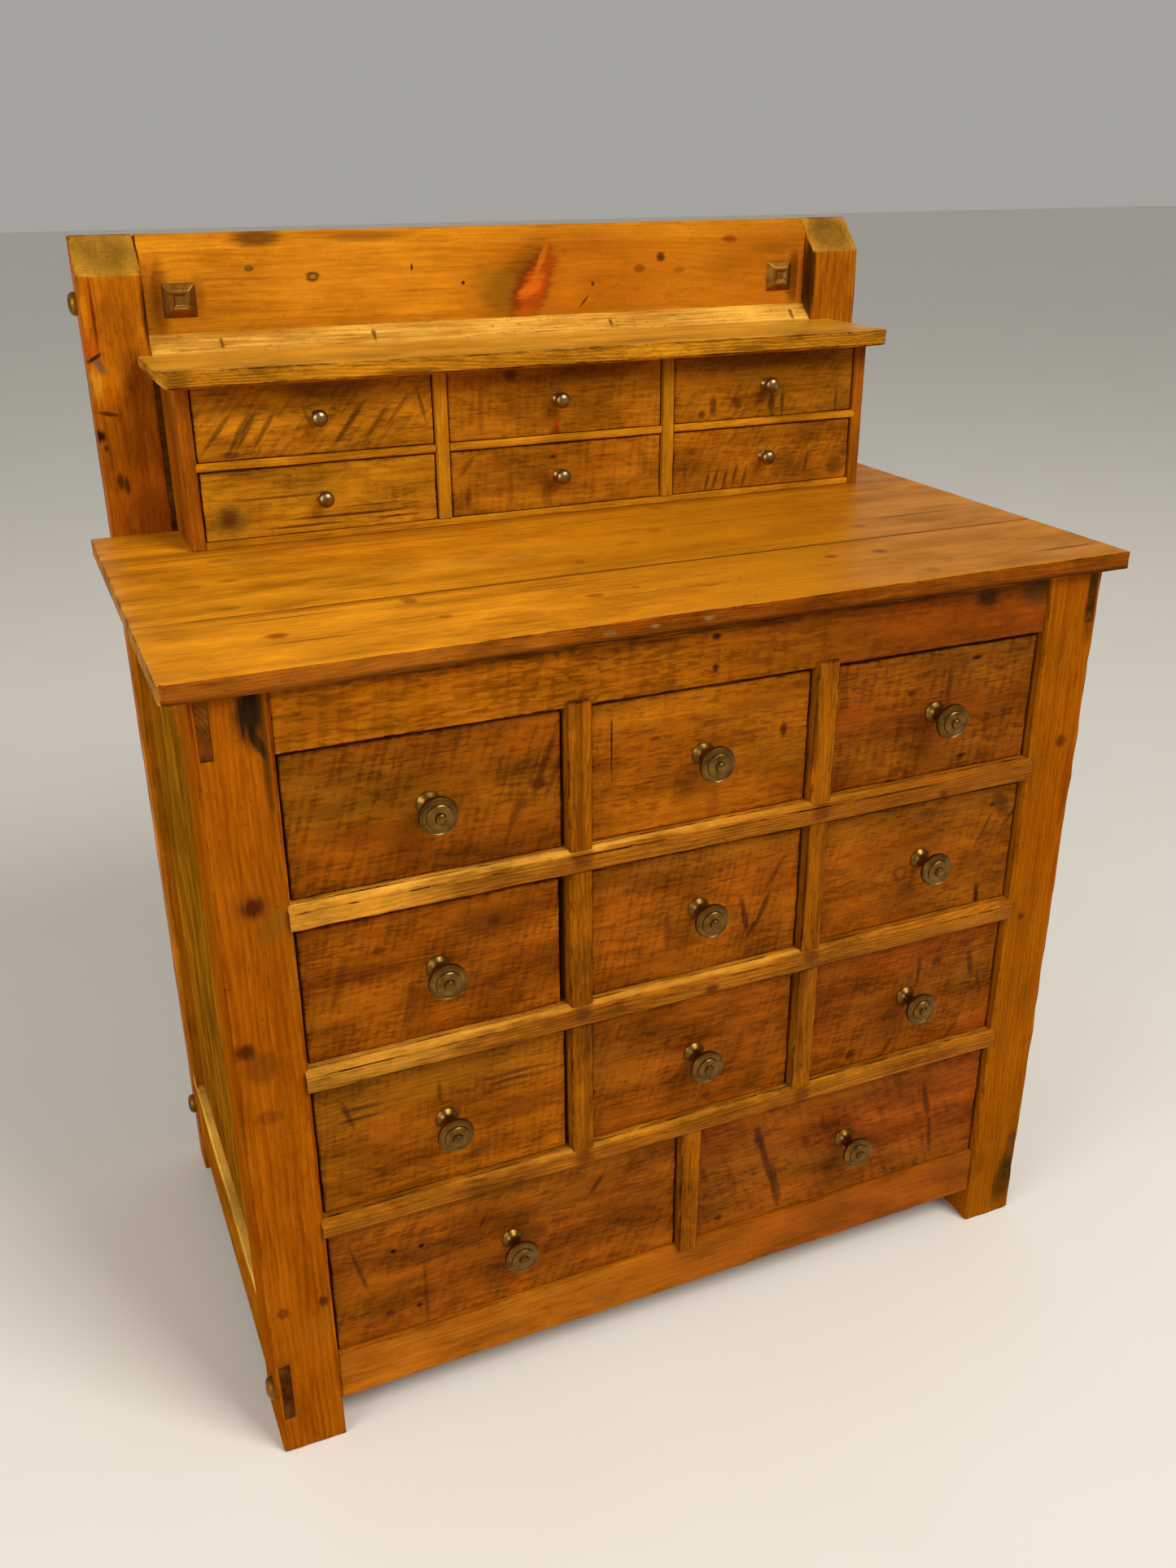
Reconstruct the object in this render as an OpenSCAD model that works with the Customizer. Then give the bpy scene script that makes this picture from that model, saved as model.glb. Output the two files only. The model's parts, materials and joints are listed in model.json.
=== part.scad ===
// Apothecary cabinet in reclaimed pine: a chest of eleven drawers with a plank
// worktop, and six small drawers under a shelf between two tall bolted uprights.
// Millimetres. The drawers face -Y, and the origin is on the floor, under the
// centre of the whole outline, drawer knobs included.

/* [Case] */
// Width across the outer faces of the posts
case_w = 1000; // [830:5:1300]
// Depth from the front posts' faces to the rear posts' faces
case_d = 527; // [430:1:700]
// Width of every post, seen from the front
post_w = 70; // [56:1:90]
// Depth of a front post
front_post_t = 85; // [60:1:110]
// Depth of a rear post
rear_post_t = 45; // [36:1:60]
// Height of the bottom rail above the floor
foot_gap = 50; // [30:1:100]

/* [Front frame] */
// Height of the bottom rail
bottom_rail_h = 66; // [50:1:90]
// Thickness of the bottom rail
bottom_rail_t = 40; // [30:1:50]
// Set-back of the bottom rail from the posts' faces
bottom_rail_set_back = 4; // [0:1:10]
// Height of the apron under the worktop
apron_h = 65; // [50:1:100]
// Thickness of the apron
apron_t = 25; // [18:1:32]
// Set-back of the apron from the posts' faces
apron_set_back = 3; // [0:1:8]
// Height of the drawer rail under the top row
rail_1_h = 26; // [18:1:34]
// Height of the drawer rail under the second row
rail_2_h = 26; // [18:1:34]
// Height of the drawer rail under the third row
rail_3_h = 22; // [18:1:34]
// Depth of a drawer rail from front to back
rail_t = 40; // [30:1:60]
// Distance that the drawer rails stand in front of the posts
rail_proud = 5; // [1:1:10]
// Length of each rail end let into its post
rail_housing = 4; // [2:1:10]
// Height of the worn bevel along a rail's upper edge
rail_bevel_h = 6; // [2:1:10]
// Depth of the worn bevel along a rail's upper edge
rail_bevel_t = 9; // [4:1:14]
// Width of a muntin, the upright between two drawers
muntin_w = 26; // [18:1:36]
// Depth of a muntin from front to back
muntin_t = 32; // [24:1:38]
// Distance that the muntins stand in front of the posts
muntin_proud = 2; // [0:1:4]
// Depth of the housings that hold the muntins
muntin_lap = 7; // [3:1:12]

/* [Drawer openings] */
// Height of the top row of openings
row_1_h = 152; // [110:1:190]
// Height of the second row of openings
row_2_h = 160; // [110:1:200]
// Height of the third row of openings
row_3_h = 164; // [110:1:200]
// Height of the bottom row of openings
row_4_h = 172; // [110:1:220]
// Width of the left-hand openings in the upper three rows
left_opening_w = 282; // [220:1:340]
// Width of the middle openings in the upper three rows
middle_opening_w = 257; // [210:1:310]
// Width of the left-hand opening in the bottom row
bottom_left_opening_w = 420; // [340:1:510]

/* [Side frames] */
// Thickness of the side rails and rear stiles
side_rail_t = 22; // [18:1:30]
// Set-back of the side rails from the posts' outer faces
side_set_back = 1; // [0:1:4]
// Height of an upper side rail
side_top_rail_h = 73; // [50:1:100]
// Height of a lower side rail
side_bottom_rail_h = 110; // [80:1:150]
// Depth of a rear stile
rear_stile_w = 40; // [25:1:60]
// Thickness of the through tenons
tenon_t = 11; // [8:1:14]
// Set-back of the tenons from the side rails' outer faces
tenon_set_back = 4; // [2:1:7]
// Height cut away from a rail to leave its tenon
tenon_shoulder = 32; // [10:1:45]
// Height cut away from an upper rail to leave its tenon
top_tenon_shoulder = 13; // [5:1:40]
// Thickness of the side panel boards
side_board_t = 10; // [7:0.5:10]
// Set-back of the side panel boards from the side rails
panel_recess = 10; // [4:0.5:11]
// Number of boards in a side panel
side_board_count = 3; // [2:1:6]

/* [Back] */
// Thickness of the back boards
back_board_t = 12; // [8:1:20]
// Number of boards in the back
back_board_count = 6; // [3:1:8]
// Thickness of the cross rails behind the drawers
cross_rail_t = 22; // [18:1:30]
// Height of a cross rail above the drawer runners
stop_h = 30; // [15:1:60]

/* [Runners] */
// Height of the drawer runners
runner_h = 20; // [14:1:22]
// Width of the runner under a drawer's edge
runner_bearing = 20; // [10:1:30]
// Height of the guide strips
guide_h = 18; // [10:1:30]

/* [Worktop] */
// Thickness of the worktop
worktop_t = 20; // [16:1:30]
// Overhang of the worktop in front of the posts
overhang_front = 12; // [6:1:30]
// Overhang of the worktop at each side
overhang_side = 25; // [10:1:40]
// Width of the worktop's front board
front_board_w = 167; // [120:1:200]
// Width of the worktop's middle board
middle_board_w = 211; // [120:1:220]

/* [Uprights] */
// Height of the uprights' front faces above the worktop
upright_h = 285; // [250:1:400]
// Rise of the sloping ends of the uprights
upright_slope_h = 40; // [10:1:60]
// Height of the top rail
top_rail_h = 148; // [120:1:200]
// Thickness of the top rail
top_rail_t = 25; // [20:1:36]
// Height of the bevel along the top rail
top_rail_bevel_h = 17; // [5:1:30]

/* [Small drawer box] */
// Distance from the left side of the case to the box
box_inset_left = 74; // [40:1:100]
// Distance from the box to the right side of the case
box_inset_right = 52; // [30:1:100]
// Depth of the box
box_d = 112; // [90:1:160]
// Thickness of the box sides
box_side_t = 15; // [10:1:20]
// Thickness of the box floor
box_floor_t = 8; // [6:1:15]
// Thickness of the board behind the box
box_back_t = 10; // [6:1:14]
// Thickness of the upright dividers
divider_t = 16; // [10:1:20]
// Thickness of the level partitions
partition_t = 9; // [6:1:14]
// Length of the partitions let into the box sides
partition_housing = 5; // [0:1:8]
// Height of the lower small openings
small_lower_h = 79; // [60:1:100]
// Height of the upper small openings
small_upper_h = 84; // [60:1:100]
// Width of the left-hand small openings
small_left_w = 274; // [200:1:330]
// Width of the middle small openings
small_middle_w = 277; // [200:1:330]

/* [Shelf] */
// Thickness of the shelf
shelf_t = 20; // [15:1:30]
// Depth of the shelf
shelf_d = 145; // [120:1:200]
// Distance from the left side of the case to the shelf
shelf_inset_left = 53; // [20:1:70]
// Distance from the shelf to the right side of the case
shelf_inset_right = 43; // [20:1:70]
// Height that the bevelled fillet rises behind the shelf
fillet_h = 20; // [10:1:30]

/* [Large drawers] */
// Set-back of the large drawers' faces from the posts
front_recess = 8; // [4:1:15]
// Thickness of a large drawer front
large_front_t = 18; // [14:1:25]
// Thickness of the sides and back of a large drawer
large_side_t = 10; // [7:1:14]
// Thickness of the bottom of a large drawer
large_bottom_t = 6; // [4:1:10]
// Height by which the sides are lower than the front
side_drop = 10; // [4:1:20]
// Height of a drawer bottom above the lower edge of its sides
bottom_raise = 8; // [5:1:12]
// Gap at each side of a large drawer
large_side_gap = 3; // [1:0.5:6]
// Gap above the drawers of the top row
top_row_gap = 4; // [2:1:8]
// Gap above the drawers of the other large rows
lower_row_gap = 8; // [3:1:12]
// Running gap under every drawer
running_gap = 0.6; // [0.4:0.1:2]
// Gap between a closed drawer and its stop
stop_gap = 0.6; // [0.4:0.1:3]

/* [Small drawers] */
// Set-back of the small drawers' faces from the box
small_recess = 3; // [0:1:8]
// Thickness of a small drawer front
small_front_t = 12; // [8:1:16]
// Thickness of the sides and back of a small drawer
small_side_t = 7; // [5:1:10]
// Thickness of the bottom of a small drawer
small_bottom_t = 4; // [3:0.5:6]
// Gap at the sides and top of a small drawer
small_gap = 1.5; // [0.8:0.1:3]
// Height of a small drawer's bottom above the lower edge of its sides
small_bottom_raise = 4; // [2:1:8]

/* [Knobs] */
// Diameter of a large knob's head
large_knob_d = 40; // [28:1:50]
// Reach of a large knob in front of its drawer
large_knob_reach = 42; // [30:1:55]
// Diameter of a small knob's head
small_knob_d = 19; // [14:1:26]
// Reach of a small knob in front of its drawer
small_knob_reach = 22; // [16:1:30]
// Diameter of the large knobs' screws
large_screw_d = 6; // [4:0.5:8]
// Diameter of the small knobs' screws
small_screw_d = 4; // [3:0.5:5]
// Diametral clearance round screws and bolts
bore_clearance = 0.2; // [0.1:0.05:0.5]

/* [Bolts and nuts] */
// Diameter of the frame bolts
bolt_d = 12; // [8:1:14]
// Diameter of the bolt heads
bolt_head_d = 26; // [20:1:34]
// Thickness of the bolt heads
bolt_head_t = 9; // [5:1:14]
// Height of the lower rear bolts
rear_bolt_z = 100; // [70:1:140]
// Height of the lower front bolts
front_bolt_z = 78; // [64:1:100]
// Height of the upper bolts below the top of the top rail
top_bolt_drop = 70; // [50:1:90]
// Width of the square nuts
nut_w = 38; // [24:1:44]
// Distance from an upright to the centre of its nut
nut_inset = 40; // [30:1:80]
// Length of the upper bolts' bores past the centres of their nuts
bolt_end = 9; // [1:1:12]
// Distance that the nuts stand in front of the top rail
nut_proud = 7; // [2:1:12]
// Width of the bevel round the face of each nut
nut_bevel = 6; // [2:0.5:9]
// Depth of the nuts' pockets in the top rail
nut_pocket = 20; // [19:1:22]
// Length of a lower front bolt inside the bottom rail
bolt_grip = 30; // [15:1:60]

/* [Hidden] */
$fn = 48;
// Gap left at every glued or nailed joint between two boards of one node
joint = 0.2;

// Levels, from the floor up
row_4_floor = foot_gap + bottom_rail_h;
rail_3_z = row_4_floor + row_4_h;
row_3_floor = rail_3_z + rail_3_h;
rail_2_z = row_3_floor + row_3_h;
row_2_floor = rail_2_z + rail_2_h;
rail_1_z = row_2_floor + row_2_h;
row_1_floor = rail_1_z + rail_1_h;
apron_z = row_1_floor + row_1_h;
case_h = apron_z + apron_h;
worktop_top = case_h + worktop_t;
small_lower_floor = worktop_top + box_floor_t;
partition_z = small_lower_floor + small_lower_h;
small_upper_floor = partition_z + partition_t;
shelf_z = small_upper_floor + small_upper_h;
shelf_top = shelf_z + shelf_t;
upright_front_top = worktop_top + upright_h;
top_z = upright_front_top + upright_slope_h;

// Positions across the front, from the left post's outer face
inner_left = post_w;
inner_right = case_w - post_w;
muntin_1_x = inner_left + left_opening_w;
muntin_2_x = muntin_1_x + muntin_w + middle_opening_w;
muntin_3_x = inner_left + bottom_left_opening_w;
upper_openings = [
    [inner_left, muntin_1_x],
    [muntin_1_x + muntin_w, muntin_2_x],
    [muntin_2_x + muntin_w, inner_right]
];
bottom_openings = [
    [inner_left, muntin_3_x],
    [muntin_3_x + muntin_w, inner_right]
];
box_left = box_inset_left;
box_right = case_w - box_inset_right;
divider_1_x = box_left + box_side_t + small_left_w;
divider_2_x = divider_1_x + divider_t + small_middle_w;
small_openings = [
    [box_left + box_side_t, divider_1_x],
    [divider_1_x + divider_t, divider_2_x],
    [divider_2_x + divider_t, box_right - box_side_t]
];

// Depths, from the front posts' faces
case_back = case_d + rear_post_t;
box_front = case_d - box_d;
cross_rail_y = case_d - cross_rail_t;
side_inner = side_set_back + side_rail_t;
stile_y = case_d - rear_stile_w;
knob_front = front_recess - large_knob_reach;
mid_y = (knob_front + case_back) / 2;

// Places of the frame bolts and nuts, and of the left-hand tenons
rear_bolt_y = case_d + rear_post_t / 2;
front_bolt_y = bottom_rail_set_back + bottom_rail_t / 2;
top_bolt_y = case_back - top_rail_t / 2;
top_bolt_z = top_z - top_bolt_drop;
nut_x = inner_left + nut_inset;
tenon_x = side_set_back + tenon_set_back;

// One entry per large drawer: opening, floor, height of the opening, gap above
large_slots = [
    for (o = upper_openings) [o, row_1_floor, row_1_h, top_row_gap],
    for (o = upper_openings) [o, row_2_floor, row_2_h, lower_row_gap],
    for (o = upper_openings) [o, row_3_floor, row_3_h, lower_row_gap],
    for (o = bottom_openings) [o, row_4_floor, row_4_h, lower_row_gap]
];
// One entry per small drawer: opening, floor, height of the opening
small_slots = [
    for (o = small_openings) [o, small_upper_floor, small_upper_h],
    for (o = small_openings) [o, small_lower_floor, small_lower_h]
];
// One entry per drawer rail: its lower level and its height
rails = [[rail_1_z, rail_1_h], [rail_2_z, rail_2_h], [rail_3_z, rail_3_h]];
// One entry per row: its floor, and the strips of frame between its drawers
rows = [
    [row_1_floor, upper_openings],
    [row_2_floor, upper_openings],
    [row_3_floor, upper_openings],
    [row_4_floor, bottom_openings]
];
// One entry per muntin: its left edge, the level under it and the level above it
muntin_places = [
    for (x = [muntin_1_x, muntin_2_x]) [x, row_1_floor, apron_z + muntin_lap],
    for (x = [muntin_1_x, muntin_2_x]) [x, row_2_floor, rail_1_z],
    for (x = [muntin_1_x, muntin_2_x]) [x, row_3_floor, rail_2_z],
    [muntin_3_x, row_4_floor, rail_3_z]
];

// Outlines of the turned parts: radius as a share of the head's radius, and
// reach as a share of the whole reach
bolt_head_outline = [[1, 0], [1, 0.45], [0.8, 0.8], [0.4, 1]];
large_knob_outline = [
    [0.62, 0], [0.62, 0.07], [0.42, 0.14], [0.34, 0.3], [0.36, 0.42], [0.56, 0.6],
    [0.9, 0.66], [1, 0.72], [1, 0.8], [0.9, 0.84], [0.66, 0.86], [0.6, 0.91],
    [0.28, 0.93], [0.22, 1]
];
small_knob_outline = [
    [0.75, 0], [0.75, 0.08], [0.42, 0.2], [0.4, 0.36], [0.75, 0.46], [1, 0.62],
    [0.98, 0.74], [0.8, 0.88], [0.45, 0.97]
];

pine = "#c07a2c";
post_pine = "#b9661f";
rail_pine = "#cf9440";
drawer_pine = "#9a5c1e";
panel_pine = "#a97f38";
worktop_pine = "#c98a34";
back_pine = "#b98a55";
bronze = "#6f5a40";
pewter = "#8a8273";
iron = "#4c4036";

// A square-cut board between two opposite corners
module board(low, high) {
    translate(low) cube(high - low);
}

// Moves a piece from the case's own corner to the shared origin
module placed() {
    translate([-case_w / 2, -mid_y, 0]) children();
}

// The same piece at the left, or mirrored to the right of the case
module at_side(right) {
    if (right) translate([case_w, 0, 0]) mirror([1, 0, 0]) children();
    else children();
}

// A shape drawn in the YZ plane and run along X
module along_x(x0, x1) {
    translate([x0, 0, 0]) rotate([90, 0, 90]) linear_extrude(x1 - x0) children();
}

// A round bar or hole along X
module rod_x(x0, x1, y, z, d) {
    translate([x0, y, z]) rotate([0, 90, 0]) cylinder(h = x1 - x0, d = d);
}

// A round bar or hole along Y
module rod_y(x, y0, y1, z, d) {
    translate([x, y1, z]) rotate([90, 0, 0]) cylinder(h = y1 - y0, d = d);
}

// A turned head standing on Z = 0, and a round root below it where it has one
module turned(outline, d, reach, root_d, root) {
    rotate_extrude() polygon(concat(
        root > 0 ? [[0, -root], [root_d / 2, -root], [root_d / 2, 0]] : [[0, 0]],
        [for (p = outline) [p[0] * d / 2, p[1] * reach]], [[0, reach]]
    ));
}

// Front post, mortised for both side rails and housed for the drawer rails
module front_post(right) {
    placed() at_side(right) color(post_pine) difference() {
        board([0, 0, 0], [post_w, front_post_t, case_h]);
        board([tenon_x, -1, foot_gap], [tenon_x + tenon_t, front_post_t + 1,
              foot_gap + side_bottom_rail_h - tenon_shoulder]);
        board([tenon_x, -1, case_h - side_top_rail_h + top_tenon_shoulder],
              [tenon_x + tenon_t, front_post_t + 1, case_h + 1]);
        for (r = rails)
            board([post_w - rail_housing, -1, r[0]],
                  [post_w + 1, rail_t - rail_proud, r[0] + r[1]]);
        rod_x(-1, post_w + 1, front_bolt_y, front_bolt_z, bolt_d + bore_clearance);
    }
}

// Rear post, which rises past the worktop to a sloping end
module rear_post(right) {
    placed() at_side(right) color(post_pine) difference() {
        along_x(0, post_w) polygon([
            [case_d, 0], [case_back, 0], [case_back, top_z], [case_d, upright_front_top]
        ]);
        rod_x(-1, post_w + 1, rear_bolt_y, rear_bolt_z, bolt_d + bore_clearance);
        rod_x(-1, post_w + 1, top_bolt_y, top_bolt_z, bolt_d + bore_clearance);
    }
}

// A side rail with a through tenon at its front end
module side_rail(z0, z1, tenon_z0, tenon_z1) {
    board([side_set_back, front_post_t, z0], [side_inner, stile_y - joint, z1]);
    board([tenon_x, 0, tenon_z0], [tenon_x + tenon_t, front_post_t + 1, tenon_z1]);
}

// Side frame: two rails, the lower one bored for its bolt, and the rear stile
module side_frame(right) {
    placed() at_side(right) color(rail_pine) {
        difference() {
            side_rail(foot_gap, foot_gap + side_bottom_rail_h,
                      foot_gap, foot_gap + side_bottom_rail_h - tenon_shoulder);
            rod_x(-1, side_inner + 1, front_bolt_y, front_bolt_z,
                  bolt_d + bore_clearance);
        }
        side_rail(case_h - side_top_rail_h, case_h,
                  case_h - side_top_rail_h + top_tenon_shoulder, case_h);
        board([side_set_back, stile_y, foot_gap], [side_inner, case_d, case_h]);
    }
}

// Side panel: upright boards, set back from the frame around them
module side_panel(right) {
    outer = side_set_back + panel_recess;
    pitch = (stile_y - joint - front_post_t) / side_board_count;
    placed() at_side(right) color(panel_pine) for (i = [0 : side_board_count - 1])
        board([outer, front_post_t + i * pitch, foot_gap + side_bottom_rail_h],
              [outer + side_board_t, front_post_t + (i + 1) * pitch - joint,
               case_h - side_top_rail_h]);
}

// Apron under the worktop, notched over the top row's muntins
module apron() {
    placed() color(rail_pine) difference() {
        board([inner_left, apron_set_back, apron_z],
              [inner_right, apron_set_back + apron_t, case_h]);
        for (x = [muntin_1_x, muntin_2_x])
            board([x, apron_set_back - 1, apron_z - 1],
                  [x + muntin_w, apron_set_back + apron_t + 1, apron_z + muntin_lap]);
    }
}

// Bottom rail, housed for the last muntin and bored for the front bolts
module bottom_rail() {
    y0 = bottom_rail_set_back;
    y1 = y0 + bottom_rail_t;
    placed() color(rail_pine) difference() {
        board([inner_left, y0, foot_gap], [inner_right, y1, row_4_floor]);
        board([muntin_3_x, y0 - 1, row_4_floor - muntin_lap],
              [muntin_3_x + muntin_w, y1 + 1, row_4_floor + 1]);
        for (right = [false, true]) at_side(right)
            rod_x(inner_left - 1, inner_left + bolt_grip + 1, front_bolt_y, front_bolt_z,
                  bolt_d + bore_clearance);
    }
}

// Drawer rails: bevelled, proud of the posts and housed for the muntins above them
module drawer_rails() {
    y0 = -rail_proud;
    y1 = rail_t - rail_proud;
    placed() color(rail_pine) for (r = rails) difference() {
        along_x(inner_left - rail_housing, inner_right + rail_housing) polygon([
            [y0, r[0]], [y1, r[0]], [y1, r[0] + r[1]],
            [y0 + rail_bevel_t, r[0] + r[1]], [y0, r[0] + r[1] - rail_bevel_h]
        ]);
        for (m = muntin_places) if (m[1] == r[0] + r[1])
            board([m[0], y0 - 1, m[1] - muntin_lap],
                  [m[0] + muntin_w, y1 + 1, m[1] + 1]);
    }
}

// Muntins: short uprights between the drawers, let in at their lower ends
module muntins() {
    placed() color(pine) for (m = muntin_places)
        board([m[0], -muntin_proud, m[1] - muntin_lap],
              [m[0] + muntin_w, muntin_t - muntin_proud, m[2]]);
}

// Runners under the drawers' edges, from the front rails to the cross rails
module drawer_runners() {
    placed() color(back_pine) for (r = rows) {
        last = len(r[1]) - 1;
        front = r[0] == row_4_floor ? bottom_rail_set_back + bottom_rail_t
                                    : rail_t - rail_proud;
        for (i = [0 : last + 1]) {
            low = i == 0 ? side_inner : r[1][i - 1][1] - runner_bearing;
            high = i > last ? case_w - side_inner : r[1][i][0] + runner_bearing;
            // The outer runners start behind the front posts
            y0 = i == 0 || i > last ? front_post_t : front;
            board([low + joint, y0 + joint, r[0] - runner_h],
                  [high - joint, cross_rail_y - joint, r[0]]);
        }
    }
}

// Guide strips on the runners, in line with the posts and muntins
module drawer_guides() {
    placed() color(back_pine) for (r = rows) {
        last = len(r[1]) - 1;
        for (i = [0 : last + 1]) {
            low = i == 0 ? side_inner + joint : r[1][i - 1][1];
            high = i > last ? case_w - side_inner - joint : r[1][i][0];
            y0 = i == 0 || i > last ? front_post_t
               : max(rail_t - rail_proud, bottom_rail_set_back + bottom_rail_t);
            board([low, y0 + joint, r[0] + joint],
                  [high, cross_rail_y - joint, r[0] + guide_h]);
        }
    }
}

// Cross rails at the back, which carry the runners and stop the drawers
module cross_rails() {
    placed() color(back_pine) for (r = rows)
        board([side_inner + joint, cross_rail_y, r[0] - runner_h],
              [case_w - side_inner - joint, case_d, r[0] + stop_h]);
}

// Back boards between the rear posts
module back_boards() {
    pitch = (inner_right - inner_left) / back_board_count;
    placed() color(back_pine) for (i = [0 : back_board_count - 1])
        board([inner_left + i * pitch + joint, case_d + joint, foot_gap],
              [inner_left + (i + 1) * pitch - joint, case_d + joint + back_board_t, case_h]);
}

// Worktop: three boards side by side, ending at the uprights
module worktop() {
    edges = [-overhang_front, front_board_w - overhang_front,
             front_board_w + middle_board_w - overhang_front, case_d + joint];
    placed() color(worktop_pine) for (i = [0 : 2])
        board([-overhang_side, edges[i], case_h],
              [case_w + overhang_side, edges[i + 1] - joint, worktop_top]);
}

// Top rail: bevelled along the top, pocketed for the nuts and bored for their bolts
module top_rail() {
    y0 = case_back - top_rail_t;
    placed() color(pine) difference() {
        along_x(inner_left, inner_right) polygon([
            [y0, top_z - top_rail_h], [case_back, top_z - top_rail_h],
            [case_back, top_z], [y0, top_z - top_rail_bevel_h]
        ]);
        for (right = [false, true]) at_side(right) {
            board([nut_x - nut_w / 2, y0 - 1, top_bolt_z - nut_w / 2],
                  [nut_x + nut_w / 2, y0 + nut_pocket, top_bolt_z + nut_w / 2]);
            rod_x(inner_left - 1, nut_x, top_bolt_y, top_bolt_z, bolt_d + bore_clearance);
        }
    }
}

// Sides of the small drawer box, housed for the ends of the partitions
module box_sides() {
    placed() color(pine) for (x = [box_left, box_right - box_side_t]) difference() {
        board([x, box_front, worktop_top], [x + box_side_t, case_d, shelf_z]);
        board([box_left + box_side_t - partition_housing, box_front - 1, partition_z],
              [box_right - box_side_t + partition_housing, case_d + 1,
               small_upper_floor]);
    }
}

// Floor board of the small drawer box
module box_floor() {
    placed() color(rail_pine)
        board([box_left + box_side_t, box_front, worktop_top],
              [box_right - box_side_t, case_d, small_lower_floor]);
}

// Board between the uprights that closes the back of the box; it stands on the
// back boards, behind the worktop
module box_back() {
    placed() color(back_pine)
        board([inner_left, case_d, case_h], [inner_right, case_d + box_back_t, shelf_z]);
}

// Upright dividers of the small drawer box
module box_dividers() {
    placed() color(rail_pine) for (x = [divider_1_x, divider_2_x])
        board([x, box_front, small_lower_floor],
              [x + divider_t, case_d, shelf_z]);
}

// Level partitions between the two rows of small drawers, let into the sides
module box_partitions() {
    last = len(small_openings) - 1;
    placed() color(rail_pine) for (i = [0 : last])
        board([small_openings[i][0] - (i == 0 ? partition_housing : 0), box_front,
               partition_z],
              [small_openings[i][1] + (i == last ? partition_housing : 0), case_d,
               small_upper_floor]);
}

// Shelf over the small drawers
module shelf() {
    placed() color(worktop_pine)
        board([shelf_inset_left, case_d - shelf_d, shelf_z],
              [case_w - shelf_inset_right, case_d, shelf_top]);
}

// Bevelled fillet that closes the gap between the shelf and the top rail
module shelf_fillet() {
    back = case_back - top_rail_t;
    placed() color(rail_pine) along_x(inner_left, inner_right) polygon([
        [case_d, shelf_z], [back, shelf_z], [back, shelf_top + fillet_h], [case_d, shelf_top]
    ]);
}

// A domed bolt with its shank along X
module frame_bolt(y, z, reach) {
    rod_x(0, reach, y, z, bolt_d);
    translate([0, y, z]) rotate([0, -90, 0])
        turned(bolt_head_outline, bolt_head_d, bolt_head_t, bolt_head_d, 0);
}

// A block as wide as a nut, bevelled along two edges of the end at Z = 0
module bevelled_block() {
    r = nut_w / 2;
    rotate([90, 0, 0]) translate([0, 0, -r]) linear_extrude(nut_w) polygon([
        [nut_bevel - r, 0], [r - nut_bevel, 0], [r, nut_proud],
        [r, nut_proud + nut_pocket], [-r, nut_proud + nut_pocket], [-r, nut_proud]
    ]);
}

// A square nut with four bevelled sides, seated in its pocket
module square_nut() {
    y0 = case_back - top_rail_t - nut_proud;
    difference() {
        translate([nut_x, y0, top_bolt_z]) rotate([-90, 0, 0]) intersection() {
            bevelled_block();
            rotate([0, 0, 90]) bevelled_block();
        }
        rod_x(nut_x - nut_w, nut_x + bolt_end, top_bolt_y, top_bolt_z,
              bolt_d + bore_clearance);
    }
}

// Six frame bolts, three to a side, and the square nuts of the upper two
module frame_bolts() {
    placed() color(iron) for (right = [false, true]) at_side(right) {
        frame_bolt(front_bolt_y, front_bolt_z, post_w + bolt_grip);
        frame_bolt(rear_bolt_y, rear_bolt_z, post_w);
        frame_bolt(top_bolt_y, top_bolt_z, nut_x);
        square_nut();
    }
}

// A drawer with its front, two sides, back and bottom as separate boards
module drawer(low, high, front_t, side_t, bottom_t, raise, drop, knob_z, screw_d) {
    inner = low + [side_t, front_t, 0];
    color(drawer_pine) difference() {
        board(low, [high[0], low[1] + front_t, high[2]]);
        rod_y((low[0] + high[0]) / 2, low[1] - 1, low[1] + front_t + 1, knob_z,
              screw_d + bore_clearance);
    }
    color(back_pine) {
        for (x = [low[0], high[0] - side_t])
            board([x, inner[1] + joint, low[2]], [x + side_t, high[1], high[2] - drop]);
        board([inner[0] + joint, high[1] - side_t, low[2]],
              [high[0] - side_t - joint, high[1], high[2] - drop]);
        board([inner[0] + joint, inner[1] + joint, low[2] + raise],
              [high[0] - side_t - joint, high[1] - side_t - joint, low[2] + raise + bottom_t]);
    }
}

// Corners of a large drawer, from its entry in large_slots
function large_low(s) = [s[0][0] + large_side_gap, front_recess, s[1] + running_gap];
function large_high(s) =
    [s[0][1] - large_side_gap, cross_rail_y - stop_gap, s[1] + s[2] - s[3]];
// Corners of a small drawer, from its entry in small_slots
function small_low(s) = [s[0][0] + small_gap, box_front + small_recess, s[1] + running_gap];
function small_high(s) =
    [s[0][1] - small_gap, case_d - stop_gap, s[1] + s[2] - small_gap];

// The knobs sit at the middle of the openings
function knob_x(s) = (s[0][0] + s[0][1]) / 2;
function knob_z(s) = s[1] + s[2] / 2;

module large_drawer(i) {
    s = large_slots[i - 1];
    placed() drawer(large_low(s), large_high(s), large_front_t, large_side_t,
                    large_bottom_t, bottom_raise, side_drop, knob_z(s), large_screw_d);
}

module small_drawer(i) {
    s = small_slots[i - 1];
    placed() drawer(small_low(s), small_high(s), small_front_t, small_side_t,
                    small_bottom_t, small_bottom_raise, side_drop, knob_z(s), small_screw_d);
}

// Large knob: flange, waisted neck, stepped disc head, a small boss and a screw
module large_knob(i) {
    s = large_slots[i - 1];
    placed() color(bronze) translate([knob_x(s), front_recess, knob_z(s)])
        rotate([90, 0, 0]) turned(large_knob_outline, large_knob_d, large_knob_reach,
                                  large_screw_d, large_front_t);
}

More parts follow.
